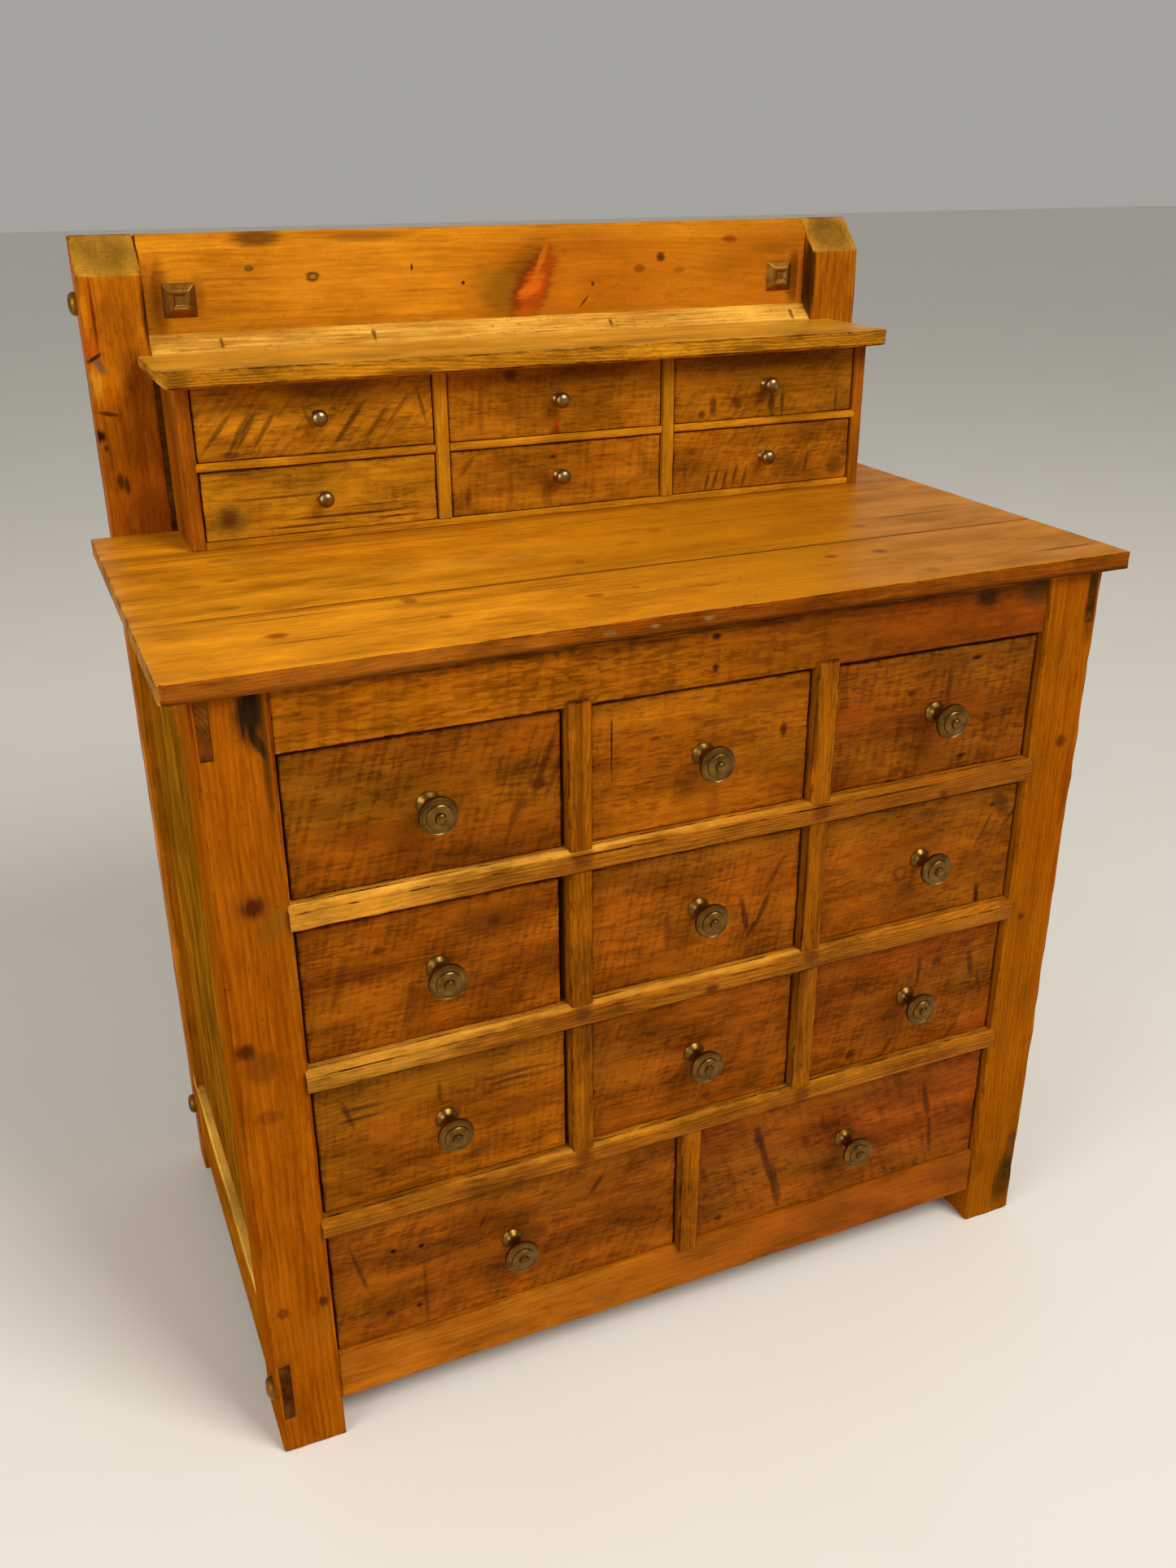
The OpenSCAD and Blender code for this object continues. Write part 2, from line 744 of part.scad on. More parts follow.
// Small knob: a dome on a short neck and a flange, and a screw
module small_knob(i) {
    s = small_slots[i - 1];
    placed() color(pewter) translate([knob_x(s), box_front + small_recess, knob_z(s)])
        rotate([90, 0, 0]) turned(small_knob_outline, small_knob_d, small_knob_reach,
                                  small_screw_d, small_front_t);
}

front_post(false);  // front_post_left
front_post(true);  // front_post_right
rear_post(false);  // rear_post_left
rear_post(true);  // rear_post_right
side_frame(false);  // side_frame_left
side_frame(true);  // side_frame_right
side_panel(false);  // side_panel_left
side_panel(true);  // side_panel_right
apron();
bottom_rail();
drawer_rails();
muntins();
drawer_runners();
drawer_guides();
cross_rails();
back_boards();
worktop();
top_rail();
box_sides();
box_floor();
box_back();
box_dividers();
box_partitions();
shelf();
shelf_fillet();
frame_bolts();
for (i = [1 : 11]) large_drawer(i);
for (i = [1 : 6]) small_drawer(i);
for (i = [1 : 11]) large_knob(i);
for (i = [1 : 6]) small_knob(i);
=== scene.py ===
import json
import math
import random

import bmesh
import bpy
import numpy as np
from mathutils import Matrix, Vector

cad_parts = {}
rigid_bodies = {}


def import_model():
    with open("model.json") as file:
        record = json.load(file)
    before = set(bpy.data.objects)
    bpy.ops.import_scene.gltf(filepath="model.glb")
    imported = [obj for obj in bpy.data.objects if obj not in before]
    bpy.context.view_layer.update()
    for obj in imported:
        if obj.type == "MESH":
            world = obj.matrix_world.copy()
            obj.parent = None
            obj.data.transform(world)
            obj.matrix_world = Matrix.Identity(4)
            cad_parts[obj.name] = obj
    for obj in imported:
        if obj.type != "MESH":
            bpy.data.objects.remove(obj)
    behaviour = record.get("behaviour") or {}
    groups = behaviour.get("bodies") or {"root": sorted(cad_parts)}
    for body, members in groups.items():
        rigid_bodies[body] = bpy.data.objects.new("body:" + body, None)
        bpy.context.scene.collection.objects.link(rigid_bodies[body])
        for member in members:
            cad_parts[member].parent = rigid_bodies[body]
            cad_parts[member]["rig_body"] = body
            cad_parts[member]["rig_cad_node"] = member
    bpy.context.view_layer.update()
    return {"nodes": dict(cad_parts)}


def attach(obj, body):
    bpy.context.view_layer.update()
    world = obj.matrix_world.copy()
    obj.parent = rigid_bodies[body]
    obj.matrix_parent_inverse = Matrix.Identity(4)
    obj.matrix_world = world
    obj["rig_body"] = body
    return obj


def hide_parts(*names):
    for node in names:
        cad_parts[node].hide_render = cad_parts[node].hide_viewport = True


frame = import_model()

chance = random.Random(41)


# Front posts: two square posts of old pine, 70 by 85 mm, worn soft along every
# edge. Each is cut with two mortises, and the ends of the side rails' tenons
# show in its front face.
def mm(x, y, z):
    """A point given in millimetres from the case's left front foot."""
    return Vector(((x - 500) / 1000, (y - 269) / 1000, z / 1000))


def pick(obj, kind, test):
    """Selects the faces, edges or vertices of a mesh in edit mode that pass a test."""
    mesh = bmesh.from_edit_mesh(obj.data)
    bpy.ops.mesh.select_all(action="DESELECT")
    for item in getattr(mesh, kind):
        if test(item):
            item.select_set(True)
    mesh.select_flush_mode()
    bmesh.update_edit_mesh(obj.data)


def along(edge, axis):
    """True for an edge that runs along one axis."""
    way = edge.verts[1].co - edge.verts[0].co
    return abs(way[axis]) > 0.999 * way.length


def hold(*objects):
    """Selects some objects alone, and makes the first of them the active one."""
    bpy.ops.object.select_all(action="DESELECT")
    for obj in objects:
        obj.select_set(True)
    bpy.context.view_layer.objects.active = objects[0]


def board(low, high, grain, ease=1.5, step=(24, 12, 12), shape=None):
    """One board between two corners in millimetres: a cube cut into a grid and eased
    along its edges, with its grain running along one axis. It stays selected."""
    low, high = mm(*low), mm(*high)
    bpy.ops.object.select_all(action="DESELECT")
    bpy.ops.mesh.primitive_cube_add(size=1, location=(low + high) / 2, scale=high - low)
    obj = bpy.context.object
    bpy.ops.object.transform_apply(location=True, rotation=True, scale=True)
    bpy.ops.object.mode_set(mode="EDIT")
    bpy.ops.mesh.select_mode(type="EDGE")
    for axis in range(3):
        cuts = round((high - low)[axis] * 1000 / step[axis]) - 1
        if cuts > 0:
            pick(obj, "edges", lambda e: along(e, axis))
            bpy.ops.mesh.subdivide(number_cuts=cuts)
    if shape:
        shape(obj)
    bpy.ops.mesh.select_all(action="DESELECT")
    bpy.ops.mesh.edges_select_sharp(sharpness=math.radians(30))
    bpy.ops.mesh.bevel(offset=ease / 1000, segments=2, profile=0.6, affect="EDGES")
    bpy.ops.object.mode_set(mode="OBJECT")
    mark_grain(obj, low, high, grain, ease)
    return obj


def mark_grain(obj, low, high, grain, ease):
    """Stores where each point lies in its board: along the grain, across it and
    through it, each board cut from its own part of a log, and how far it is from
    the nearest edge. Faces across the grain take the second material."""
    mesh = obj.data
    count = len(mesh.vertices)
    co = np.zeros(count * 3)
    mesh.vertices.foreach_get("co", co)
    co = co.reshape(-1, 3)
    size = np.array(high - low)
    middle = np.array(high + low) / 2
    others = sorted((a for a in range(3) if a != grain), key=lambda a: -size[a])
    local = (co - middle)[:, [grain, *others]]
    local += [chance.uniform(0, 60), chance.uniform(-0.05, 0.05), chance.uniform(0.02, 0.09)]
    layer = mesh.attributes.new("grain", "FLOAT_VECTOR", "POINT")
    layer.data.foreach_set("vector", local.astype(np.float32).ravel())
    inside = np.sort(np.minimum(co - np.array(low), np.array(high) - co), axis=1)[:, 1]
    layer = mesh.attributes.new("arris", "FLOAT", "POINT")
    layer.data.foreach_set("value", inside.astype(np.float32))
    group = obj.vertex_groups.new(name="arris")
    group.add([int(i) for i in np.nonzero(inside < ease * 0.0008)[0]], 1, "REPLACE")
    for face in mesh.polygons:
        face.material_index = int(abs(face.normal[grain]) > 0.8)


def displace(obj, size_mm, strength_mm, group="", mid=0.5, stretch=(1, 1, 1),
             way="NORMAL"):
    """Dents or wears a piece by a cloud pattern of one size, stretched along an axis."""
    texture = bpy.data.textures.new("wear", "CLOUDS")
    texture.noise_scale = size_mm / 1000
    texture.noise_depth = 2
    bpy.ops.object.empty_add(location=(chance.random(), chance.random(), chance.random()))
    ruler = bpy.context.object
    ruler.scale = stretch
    bpy.context.view_layer.update()
    bpy.context.view_layer.objects.active = obj
    modifier = obj.modifiers.new("wear", "DISPLACE")
    modifier.texture = texture
    modifier.texture_coords = "OBJECT"
    modifier.texture_coords_object = ruler
    modifier.strength = strength_mm / 1000
    modifier.mid_level = mid
    modifier.vertex_group = group
    modifier.direction = way
    bpy.ops.object.modifier_apply(modifier=modifier.name)
    bpy.data.objects.remove(ruler)


def piece(name, boards, body, materials, dent=0.5, wear=1.6, stands_for=None):
    """Joins boards into one named piece, wears it, and fixes it to its body."""
    hold(*boards)
    for part in boards:
        index = [face.material_index for face in part.data.polygons]
        for material in materials:
            part.data.materials.append(material)
        part.data.polygons.foreach_set("material_index", index)
    obj = boards[0]
    if len(boards) > 1:
        bpy.ops.object.join()
    obj.name = obj.data.name = name if stands_for else name + "_wood"
    if wear:
        displace(obj, 14, -wear, "arris", mid=0.35)
        displace(obj, 45, -wear, "arris", mid=0.5)
    if dent:
        displace(obj, 60, dent)
    hold(obj)
    bpy.ops.object.shade_smooth()
    modifier = obj.modifiers.new("crisp", "WEIGHTED_NORMAL")
    modifier.weight = 80
    bpy.ops.object.modifier_apply(modifier=modifier.name)
    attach(obj, body)
    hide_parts(*(stands_for or [name]))
    return obj


def linear(code):
    """An sRGB hex colour as linear RGBA."""
    parts = [int(code[i:i + 2], 16) / 255 for i in (1, 3, 5)]
    return [c / 12.92 if c <= 0.04045 else ((c + 0.055) / 1.055) ** 2.4 for c in parts] + [1]


# Settings that many nodes share
SOFT = {"interpolation_type": "SMOOTHSTEP"}
MIXED = {"data_type": "RGBA"}
TIMES = {"operation": "MULTIPLY"}
TIMES_PLUS = {"operation": "MULTIPLY_ADD"}


def add(tree, kind, settings=None, **links):
    """Adds one node with its settings, and sets or links its inputs by name or number.
    A node given for an input stands for its own first output."""
    node = tree.nodes.new("ShaderNode" + kind)
    for key, value in (settings or {}).items():
        setattr(node, key, value)
    for key, value in links.items():
        socket = node.inputs[int(key[1:]) if key[1:].isdigit() else key.replace("_", " ")]
        if isinstance(value, bpy.types.Node):
            value = value.outputs[0]
        if isinstance(value, bpy.types.NodeSocket):
            tree.links.new(value, socket)
        else:
            socket.default_value = value
    return node


def pine(name, pale, deep, dark, ring=0.45, ring_mm=5, fibre=0.5, saw=0.0, slant=0.25,
         saw_mm=9, dashes=0.4, streak=0.35, knots=0.3, worn=0.5, grime=0.35,
         moss=0.3, rough=0.45, relief=0.3, marks=(), coat=0.0, gleam=0.03, uneven=1.0):
    """Waxed old pine. Growth rings and fibres run along the board, wax and dirt have
    gone in unevenly, and the saw, knots and wear have left their own marks."""
    material = bpy.data.materials.new(name)
    material.use_nodes = True
    tree = material.node_tree
    tree.nodes.clear()
    out = add(tree, "OutputMaterial")
    shader = add(tree, "BsdfPrincipled", Coat_Weight=coat, Coat_Roughness=0.3, IOR=1.5,
                 Specular_IOR_Level=gleam, Specular_Tint=linear("#ffc070"))
    tree.links.new(shader.outputs[0], out.inputs[0])
    grain = add(tree, "Attribute", {"attribute_name": "grain"}).outputs["Vector"]
    # Patterns drawn out along the board, in cells per metre along, across and through:
    # a heart that wanders, fibres 3 mm wide since the real ones are too fine to show,
    # flecks of torn fibre 14 mm long, clouds of wax and dirt 120 by 40 mm, and lines
    # of pitch some 300 mm long
    drawn = []
    for cells, detail, roughness in (((2.2, 9, 9), 2, 0.5), ((12, 300, 300), 3, 0.6),
                                     ((62, 330, 330), 2, 0.5), ((9, 24, 24), 4, 0.62),
                                     ((1.6, 75, 75), 2, 0.5)):
        cell = add(tree, "VectorMath", TIMES, _0=grain, _1=cells)
        drawn.append(add(tree, "TexNoise", Vector=cell, Scale=1.0, Detail=detail,
                         Roughness=roughness))
    heart, fibres, flecks, clouds, pitch = drawn
    patches = clouds.outputs["Color"]
    # Knots: one in a few of the cells 240 mm long and 120 mm wide
    cell = add(tree, "VectorMath", TIMES, _0=grain, _1=(4.2, 8.3, 3))
    cell = add(tree, "TexVoronoi", Vector=cell, Scale=1.0)
    kept = add(tree, "MapRange", _0=cell.outputs["Color"], _1=1 - knots, _2=1.02 - knots)
    near = add(tree, "MapRange", SOFT, _0=cell.outputs["Distance"], _1=0.3, _2=0.02)
    swerve = add(tree, "Math", TIMES, _0=near, _1=kept)
    knot = add(tree, "MapRange", SOFT, _0=swerve, _1=0.76, _2=0.92, _4=0.85)
    # Growth rings round the heart, pushed aside by the knots
    bent = add(tree, "VectorMath", TIMES_PLUS, _0=heart.outputs["Color"], _1=(0, 0.06, 0.06),
               _2=grain)
    aside = add(tree, "CombineXYZ", Y=swerve, Z=swerve)
    bent = add(tree, "VectorMath", TIMES_PLUS, _0=aside, _1=(0, 0.016, 0.016), _2=bent)
    bent = add(tree, "VectorMath", TIMES, _0=bent, _1=(0.02, 1, 1))
    rings = add(tree, "TexWave", {"wave_type": "RINGS", "rings_direction": "X",
                                  "wave_profile": "SAW"}, Vector=bent,
                Scale=0.314 / ring_mm * 1000, Distortion=1.6, Detail=2.0, Detail_Scale=0.5)
    late = add(tree, "MapRange", SOFT, _0=rings.outputs["Fac"], _1=0.3, _2=1.0)
    shade = add(tree, "Math", TIMES, _0=late, _1=ring)
    # The ground tone, by fibres and clouds, and an olive tinge in wide patches
    cloudy = add(tree, "MapRange", _0=clouds, _1=0.34, _2=0.66)
    fibrous = add(tree, "MapRange", _0=fibres, _1=0.34, _2=0.66)
    tone = add(tree, "Mix", {"data_type": "FLOAT"}, _0=fibre, _2=cloudy, _3=fibrous)
    tone = add(tree, "MapRange", _0=tone, _1=0.2, _2=0.76)
    olive = add(tree, "MapRange", _0=heart, _1=0.46, _2=0.64, _4=moss)
    pitch = add(tree, "MapRange", SOFT, _0=pitch, _1=0.54, _2=0.7, _4=streak)
    # What goes over the ground, in order: how much of it and its colour. And what is
    # cut into the surface, and how deep
    layers = [(tone, deep), (olive, "#80600f"), (shade, dark), (pitch, dark)]
    cuts = [(fibres, 0.8)]
    if saw:
        # Saw marks: strokes across the board at a steady pitch, broken up by the
        # grain and deeper in some patches
        lean = add(tree, "SeparateXYZ", _0=grain)
        leant = add(tree, "Math", TIMES_PLUS, _0=lean.outputs[1], _1=-slant,
                    _2=lean.outputs[0])
        strokes = add(tree, "CombineXYZ", X=leant, Y=lean.outputs[1])
        comb = add(tree, "TexWave", {"bands_direction": "X"}, Vector=strokes,
                   Scale=0.314 / saw_mm * 1000, Distortion=2.6, Detail=2.0, Detail_Scale=0.7)
        strokes = add(tree, "VectorMath", TIMES, _0=strokes, _1=(1000 / saw_mm, 19, 0))
        stroke = add(tree, "TexNoise", Vector=strokes, Scale=1.0, Detail=3.0, Roughness=0.6)
        stroke = add(tree, "Mix", {"data_type": "FLOAT"}, _0=0.13, _2=stroke,
                     _3=comb.outputs["Fac"])
        stroke = add(tree, "MapRange", SOFT, _0=stroke, _1=0.49, _2=0.6)
        deeper = add(tree, "MapRange", _0=patches, _1=0.38, _2=0.54, _3=0.12)
        stroke = add(tree, "Math", TIMES, _0=stroke, _1=deeper)
        broken = add(tree, "MapRange", _0=flecks, _1=0.36, _2=0.56, _3=0.3)
        amount = add(tree, "Math", TIMES, _0=stroke, _1=saw)
        layers.append((add(tree, "Math", TIMES, _0=amount, _1=broken), dark))
        cuts.append((stroke, -1.2))
    # Dashes: the darkest flecks, which hold dirt, in some patches only
    dash = add(tree, "MapRange", SOFT, _0=flecks, _1=0.6 - 0.07 * dashes,
               _2=0.7 - 0.09 * dashes)
    some = add(tree, "MapRange", _0=patches, _1=0.45 - 0.1 * dashes, _2=0.6, _3=0.1 * dashes)
    dash = add(tree, "Math", TIMES, _0=dash, _1=some)
    # Pits: dents and worm holes 2 to 4 mm across, filled with dark wax
    pit = add(tree, "TexNoise", Vector=grain, Scale=170.0, Detail=1.5)
    pit = add(tree, "MapRange", SOFT, _0=pit, _1=0.655, _2=0.72, _4=0.4)
    cuts += [(dash, -1.0), (pit, -2.0)]
    # Grime that has gathered along the edges, and arrises rubbed paler
    edge = add(tree, "Attribute", {"attribute_name": "arris"}).outputs["Fac"]
    dirty = add(tree, "Math", TIMES_PLUS, _0=clouds, _1=0.05, _2=edge)
    dirty = add(tree, "MapRange", SOFT, _0=dirty, _1=0.042, _2=0.014, _4=grime)
    rub = add(tree, "Math", TIMES_PLUS, _0=fibres, _1=0.007, _2=edge)
    rub = add(tree, "MapRange", SOFT, _0=rub, _1=0.0068, _2=0.003, _4=worn)
    layers += [(add(tree, "Math", TIMES, _0=dash, _1=dashes), dark), (pit, "#2c1404"),
               (knot, "#4a2208"), (dirty, dark), (rub, pale)]
    # Stains and knots that are this piece's own, and patches of painted light and shade:
    # place and size in mm, colour, strength, and how many degrees the mark leans to the right
    place = add(tree, "TexCoord").outputs["Object"] if marks else None
    for middle, size, tint, strength, *lean in marks:
        off = add(tree, "VectorMath", {"operation": "SUBTRACT"}, _0=place, _1=mm(*middle))
        if lean:
            off = add(tree, "VectorRotate", {"rotation_type": "Y_AXIS"}, _0=off,
                      Angle=-math.radians(lean[0]))
        off = add(tree, "VectorMath", TIMES, _0=off, _1=[1000 / s for s in size])
        off = add(tree, "VectorMath", {"operation": "LENGTH"}, _0=off).outputs["Value"]
        off = add(tree, "Math", TIMES_PLUS, _0=clouds, _1=1.6, _2=off)
        off = add(tree, "Math", TIMES_PLUS, _0=fibres, _1=1.2, _2=off)
        layers.append((add(tree, "MapRange", SOFT, _0=off, _1=2.6, _2=1.8, _4=strength), tint))
    colour = linear(pale)
    for amount, tint in layers:
        colour = add(tree, "Mix", MIXED, _0=amount, _6=colour, _7=linear(tint)).outputs[2]
    # Lighter and darker patches and flecks over all of it, as old wax leaves them
    light = add(tree, "Math", TIMES_PLUS, _0=flecks, _1=-0.4 * uneven, _2=1 + 1.2 * uneven)
    light = add(tree, "Math", TIMES_PLUS, _0=clouds, _1=-2.0 * uneven, _2=light)
    colour = add(tree, "VectorMath", {"operation": "SCALE"}, _0=colour, Scale=light)
    tree.links.new(colour.outputs[0], shader.inputs["Base Color"])
    gloss = add(tree, "MapRange", _0=clouds, _1=0.3, _2=0.7, _3=rough - 0.08, _4=rough + 0.1)
    tree.links.new(gloss.outputs[0], shader.inputs["Roughness"])
    height = late
    for cut, depth in cuts:
        height = add(tree, "Math", TIMES_PLUS, _0=cut, _1=depth, _2=height)
    bump = add(tree, "Bump", Height=height, Strength=relief, Distance=0.001)
    tree.links.new(bump.outputs[0], shader.inputs["Normal"])
    return material


def end_grain(name, pale, dark, worn=0.5, marks=()):
    """Pine cut across: close rings, and darker because it drinks more wax."""
    return pine(name, pale, dark, dark, ring=0.5, ring_mm=3, fibre=0.2, dashes=0.2, knots=0,
                worn=worn, rough=0.5, relief=0.35, marks=marks)


def on_front(y, strokes, deep=30):
    """Marks on a face that looks forward: place along and up, width, height, colour,
    strength and lean."""
    return [((x, y, z), (wide, deep, high), *rest) for x, z, wide, high, *rest in strokes]


def mortises(obj, right):
    """Sinks the two mortises into a post's front face, 0.4 mm wider than the tenons."""
    near, far = (983.6, 995.4) if right else (4.6, 16.4)
    bpy.ops.object.mode_set(mode="EDIT")
    for axis, place in ((0, near), (0, far), (2, 49.6), (2, 128.4), (2, 842.6)):
        bpy.ops.mesh.select_all(action="SELECT")
        normal = [0, 0, 0]
        normal[axis] = 1
        bpy.ops.mesh.bisect(plane_co=mm(place, 0, place), plane_no=normal)
    a, b = mm(near, 0, 49.6), mm(far, 0, 128.4)
    top = mm(0, 0, 842.6).z
    bpy.ops.mesh.select_mode(type="FACE")
    pick(obj, "faces", lambda f: abs(f.normal.y) > 0.9 and f.calc_center_median().y < -0.2
         and a.x < f.calc_center_median().x < b.x
         and (a.z < f.calc_center_median().z < b.z or f.calc_center_median().z > top))
    bpy.ops.mesh.extrude_region_move(TRANSFORM_OT_translate={"value": (0, 0.008, 0)})
    bpy.ops.object.mode_set(mode="OBJECT")


# Sizes and heights in mm, as everywhere below
CASE_WIDE, POST_WIDE, POST_DEEP, POST_TOP = 1000, 70, 85, 903
post_end = end_grain("waxed_pine_post_ends", "#8a5c20", "#3c2208")
post_left = pine(
    "waxed_pine_left_post", "#b05f06", "#893d02", "#502003", ring=0.5, ring_mm=6,
    dashes=0.5, knots=0.12, worn=0.35, relief=0.35, gleam=0.0, uneven=0.35,
    marks=on_front(0, [
        (52, 884, 17, 34, "#14120c", 0.95), (62, 830, 5, 70, "#3a2408", 0.7),
        (57, 852, 5, 20, "#1c160a", 0.8, -20)], 20)
    + on_front(0, [
        (35, 691, 22, 20, "#7a3c0c", 0.6), (35, 691, 14, 13, "#44180a", 0.9),
        (50, 668, 16, 26, "#7c5212", 0.5, 30), (11, 537, 12, 12, "#3a1606", 0.85),
        (26, 516, 22, 20, "#602c08", 0.6), (60, 202, 8, 9, "#4a1e08", 0.85),
        (16, 201, 7, 7, "#5a2408", 0.7), (48, 170, 22, 22, "#8a5412", 0.4, 30),
        (27, 455, 15, 9, "#5e2c0a", 0.5)]))
post_right = pine(
    "waxed_pine_right_post", "#ad5d05", "#883f02", "#532103", ring=0.45, ring_mm=5,
    dashes=0.6, knots=0.15, worn=0.35, relief=0.35, gleam=0.0, uneven=0.35,
    marks=on_front(0, [(985, 60, 20, 50, "#3b2208", 0.8)], 40)
    + on_front(0, [
        (975, 700, 9, 9, "#4a2006", 0.7), (952, 470, 7, 7, "#4a2006", 0.7),
        (990, 860, 9, 40, "#3a2008", 0.6), (940, 95, 12, 26, "#6a3a0c", 0.5)]))
for side, x, wood in (("left", 0, post_left), ("right", CASE_WIDE - POST_WIDE, post_right)):
    post = board((x, 0, 0), (x + POST_WIDE, POST_DEEP, POST_TOP), 2, ease=3, step=(9, 11, 18))
    mortises(post, side == "right")
    piece(f"front_post_{side}", [post], "carcass", [wood, post_end], dent=1.0,
          wear=2.4)


# Rear posts: they rise past the worktop as tall uprights, and are sawn off at a
# slope on top. The sloping end grain is stained dark and its edges are rounded.
def sawn_off(place, way):
    """A cut for a board: saws off all that lies beyond a plane."""
    def cut(obj):
        bpy.ops.mesh.select_all(action="SELECT")
        bpy.ops.mesh.bisect(plane_co=place, plane_no=way, clear_outer=True, use_fill=True)
        bpy.ops.mesh.select_mode(type="EDGE")
    return cut


# The rear posts' front and back faces, and how high they reach
REAR, BACK, REAR_TOP = 527, 572, 1248
post_slope = sawn_off(mm(0, REAR, 1208), (0, -40, 45))
upright_left = pine(
    "waxed_pine_left_upright", "#cc720b", "#9a4704", "#542003", ring=0.4, ring_mm=6,
    dashes=0.5, knots=0.2, worn=0.4, relief=0.35,
    marks=on_front(527, [(3, 1038, 8, 9, "#100804", 0.95)], 20)
    + on_front(527, [
        (13, 1165, 2.6, 48, "#6a1c06", 0.85), (6, 1128, 8, 24, "#a8480c", 0.7),
        (12, 1115, 13, 5, "#5a4a34", 0.8, 60), (8, 1123, 12, 2.6, "#2a0e04", 0.9, -30),
        (6, 1092, 6, 22, "#b8801e", 0.7), (14, 1062, 16, 3, "#4a1606", 0.85, 12),
        (7, 1024, 4, 5, "#4a1a06", 0.8), (17, 985, 5, 11, "#3c1206", 0.8),
        # The two wide reddish-dark patches low by the right edge, 940 to 1060 up, are partly
        # reddish stain and partly painted shadow beside the box side and under the shelf. The
        # near-black line at the right edge, by the top rail, is painted shade in the gap where the
        # rail sits back.
        (24, 980, 4, 13, "#3c1206", 0.8), (55, 1005, 26, 110, "#5e240a", 0.3),
        (34, 940, 46, 34, "#5e240a", 0.3), (70, 1172, 6, 50, "#1e0e06", 0.85),
        (50, 1105, 20, 50, "#7c3c0a", 0.3), (28, 1175, 9, 16, "#8c4a0c", 0.5)]))
upright_right = pine(
    "waxed_pine_right_upright", "#bc6d08", "#914705", "#532303", ring=0.4, ring_mm=6,
    dashes=0.5, knots=0.15, worn=0.4, relief=0.35,
    marks=on_front(527, [
        # The near-black line at the left edge, by the top rail, is painted shade in the gap where
        # the rail sits back.
        (930, 1172, 6, 60, "#1e0e06", 0.85), (965, 1190, 3, 34, "#6a3008", 0.6),
        (945, 1150, 3, 40, "#6a3008", 0.5)]))
upright_end = end_grain(
    "waxed_pine_upright_ends", "#c88d29", "#754810",
    marks=on_front(551, [
        (34, 1228, 34, 36, "#4e3410", 0.5), (966, 1228, 36, 38, "#3d270c", 0.65)], 32))
for side, x, wood in (("left", 0, upright_left), ("right", CASE_WIDE - POST_WIDE, upright_right)):
    post = board((x, REAR, 0), (x + POST_WIDE, BACK, REAR_TOP), 2, ease=3.5, step=(9, 9, 18),
                 shape=post_slope)
    for face in post.data.polygons:
        if face.normal.z > 0.5:
            face.material_index = 1
    piece(f"rear_post_{side}", [post], "carcass", [wood, upright_end], dent=1.2,
          wear=3.2)


# Side frames: a rail above and below, tenoned right through the front post, and a
# stile at the back. A pale band painted along the upper edge of the lower rail is a
# painted highlight, where its top catches the light from above.
frame_pine = pine(
    "waxed_pine_side_frames", "#b4690c", "#874506", "#4c2404", ring=0.5, ring_mm=5,
    dashes=0.4, knots=0.15, worn=0.5, gleam=0.0,
    # Painted highlight: the pale band at height 161 along the lower rail's top edge.
    marks=on_front(290, [(500, 161, 3000, 12, "#e6b44a", 0.8)], 1500))
tenon_end = end_grain("waxed_pine_tenon_ends", "#7a3e10", "#3c1a06", worn=0)
for side in ("left", "right"):
    boards = []
    for low, high, way in (((1, POST_DEEP, 50), (23, 486.8, 160), 1),
                           ((1, POST_DEEP, 830), (23, 486.8, POST_TOP), 1),
                           ((1, 487, 50), (23, REAR, POST_TOP), 2)):
        if side == "right":
            low, high = (CASE_WIDE - high[0], *low[1:]), (CASE_WIDE - low[0], *high[1:])
        boards.append(board(low, high, way, ease=2, step=(11, 14, 14)))
    for z0, z1 in ((50, 128), (843, 902.6)):
        x0, x1 = (984, 995) if side == "right" else (5, 16)
        boards.append(board((x0, -0.2, z0), (x1, 30, z1), 1, ease=0.6, step=(4, 15, 12)))
        boards[-1].vertex_groups.clear()
    piece(f"side_frame_{side}", boards, "carcass", [frame_pine, tenon_end], dent=0.4,
          wear=1.6)


# Side panels: three upright boards set 10 mm back in each side frame, browner and
# greener than the frame, with a dark line where they meet.
panel_pine = pine("waxed_pine_side_panels", "#ba7410", "#884c08", "#442a03", ring=0.45,
                  ring_mm=7, dashes=0.4, knots=0.3, worn=0.1, moss=0.5, rough=0.6, gleam=0.0)
PANEL_WIDE = 133.9
for side in ("left", "right"):
    x0, x1 = (979, 989) if side == "right" else (11, 21)
    boards = [board((x0, POST_DEEP + i * PANEL_WIDE, 160),
                    (x1, POST_DEEP + (i + 1) * PANEL_WIDE - 0.2, 830), 2, ease=1.4,
                    step=(10, 12, 24)) for i in range(3)]
    piece(f"side_panel_{side}", boards, "carcass", [panel_pine, post_end],
          dent=0.8, wear=0.6)


# Apron: a thin rail under the worktop, sawn rough, with dark horizontal dashes and
# the marks of the saw.
apron_pine = pine(
    "sawn_pine_apron", "#b76607", "#924605", "#431c03", ring=0.35, ring_mm=5, saw=1.0,
    saw_mm=16, slant=0.1, dashes=1.15, streak=0.6, knots=0.12, worn=0.4, relief=0.45,
    # Painted shade: the right end darkened, as the light falls off towards the right.
    marks=on_front(3, [(960, 870, 480, 200, "#6a2a04", 0.75)])
    + on_front(3, [
        # The dark band along the top edge is painted shadow under the worktop's overhang, with
        # some grime in it.
        (500, 904, 900, 10, "#261004", 0.85), (848, 888, 18, 14, "#20160a", 0.8),
        (515, 856, 5, 5, "#1c0e04", 0.9), (515, 889, 5, 4, "#1c0e04", 0.9),
        (915, 888, 26, 16, "#33240c", 0.7)], 20))
INNER_LEFT, INNER_RIGHT = POST_WIDE, CASE_WIDE - POST_WIDE
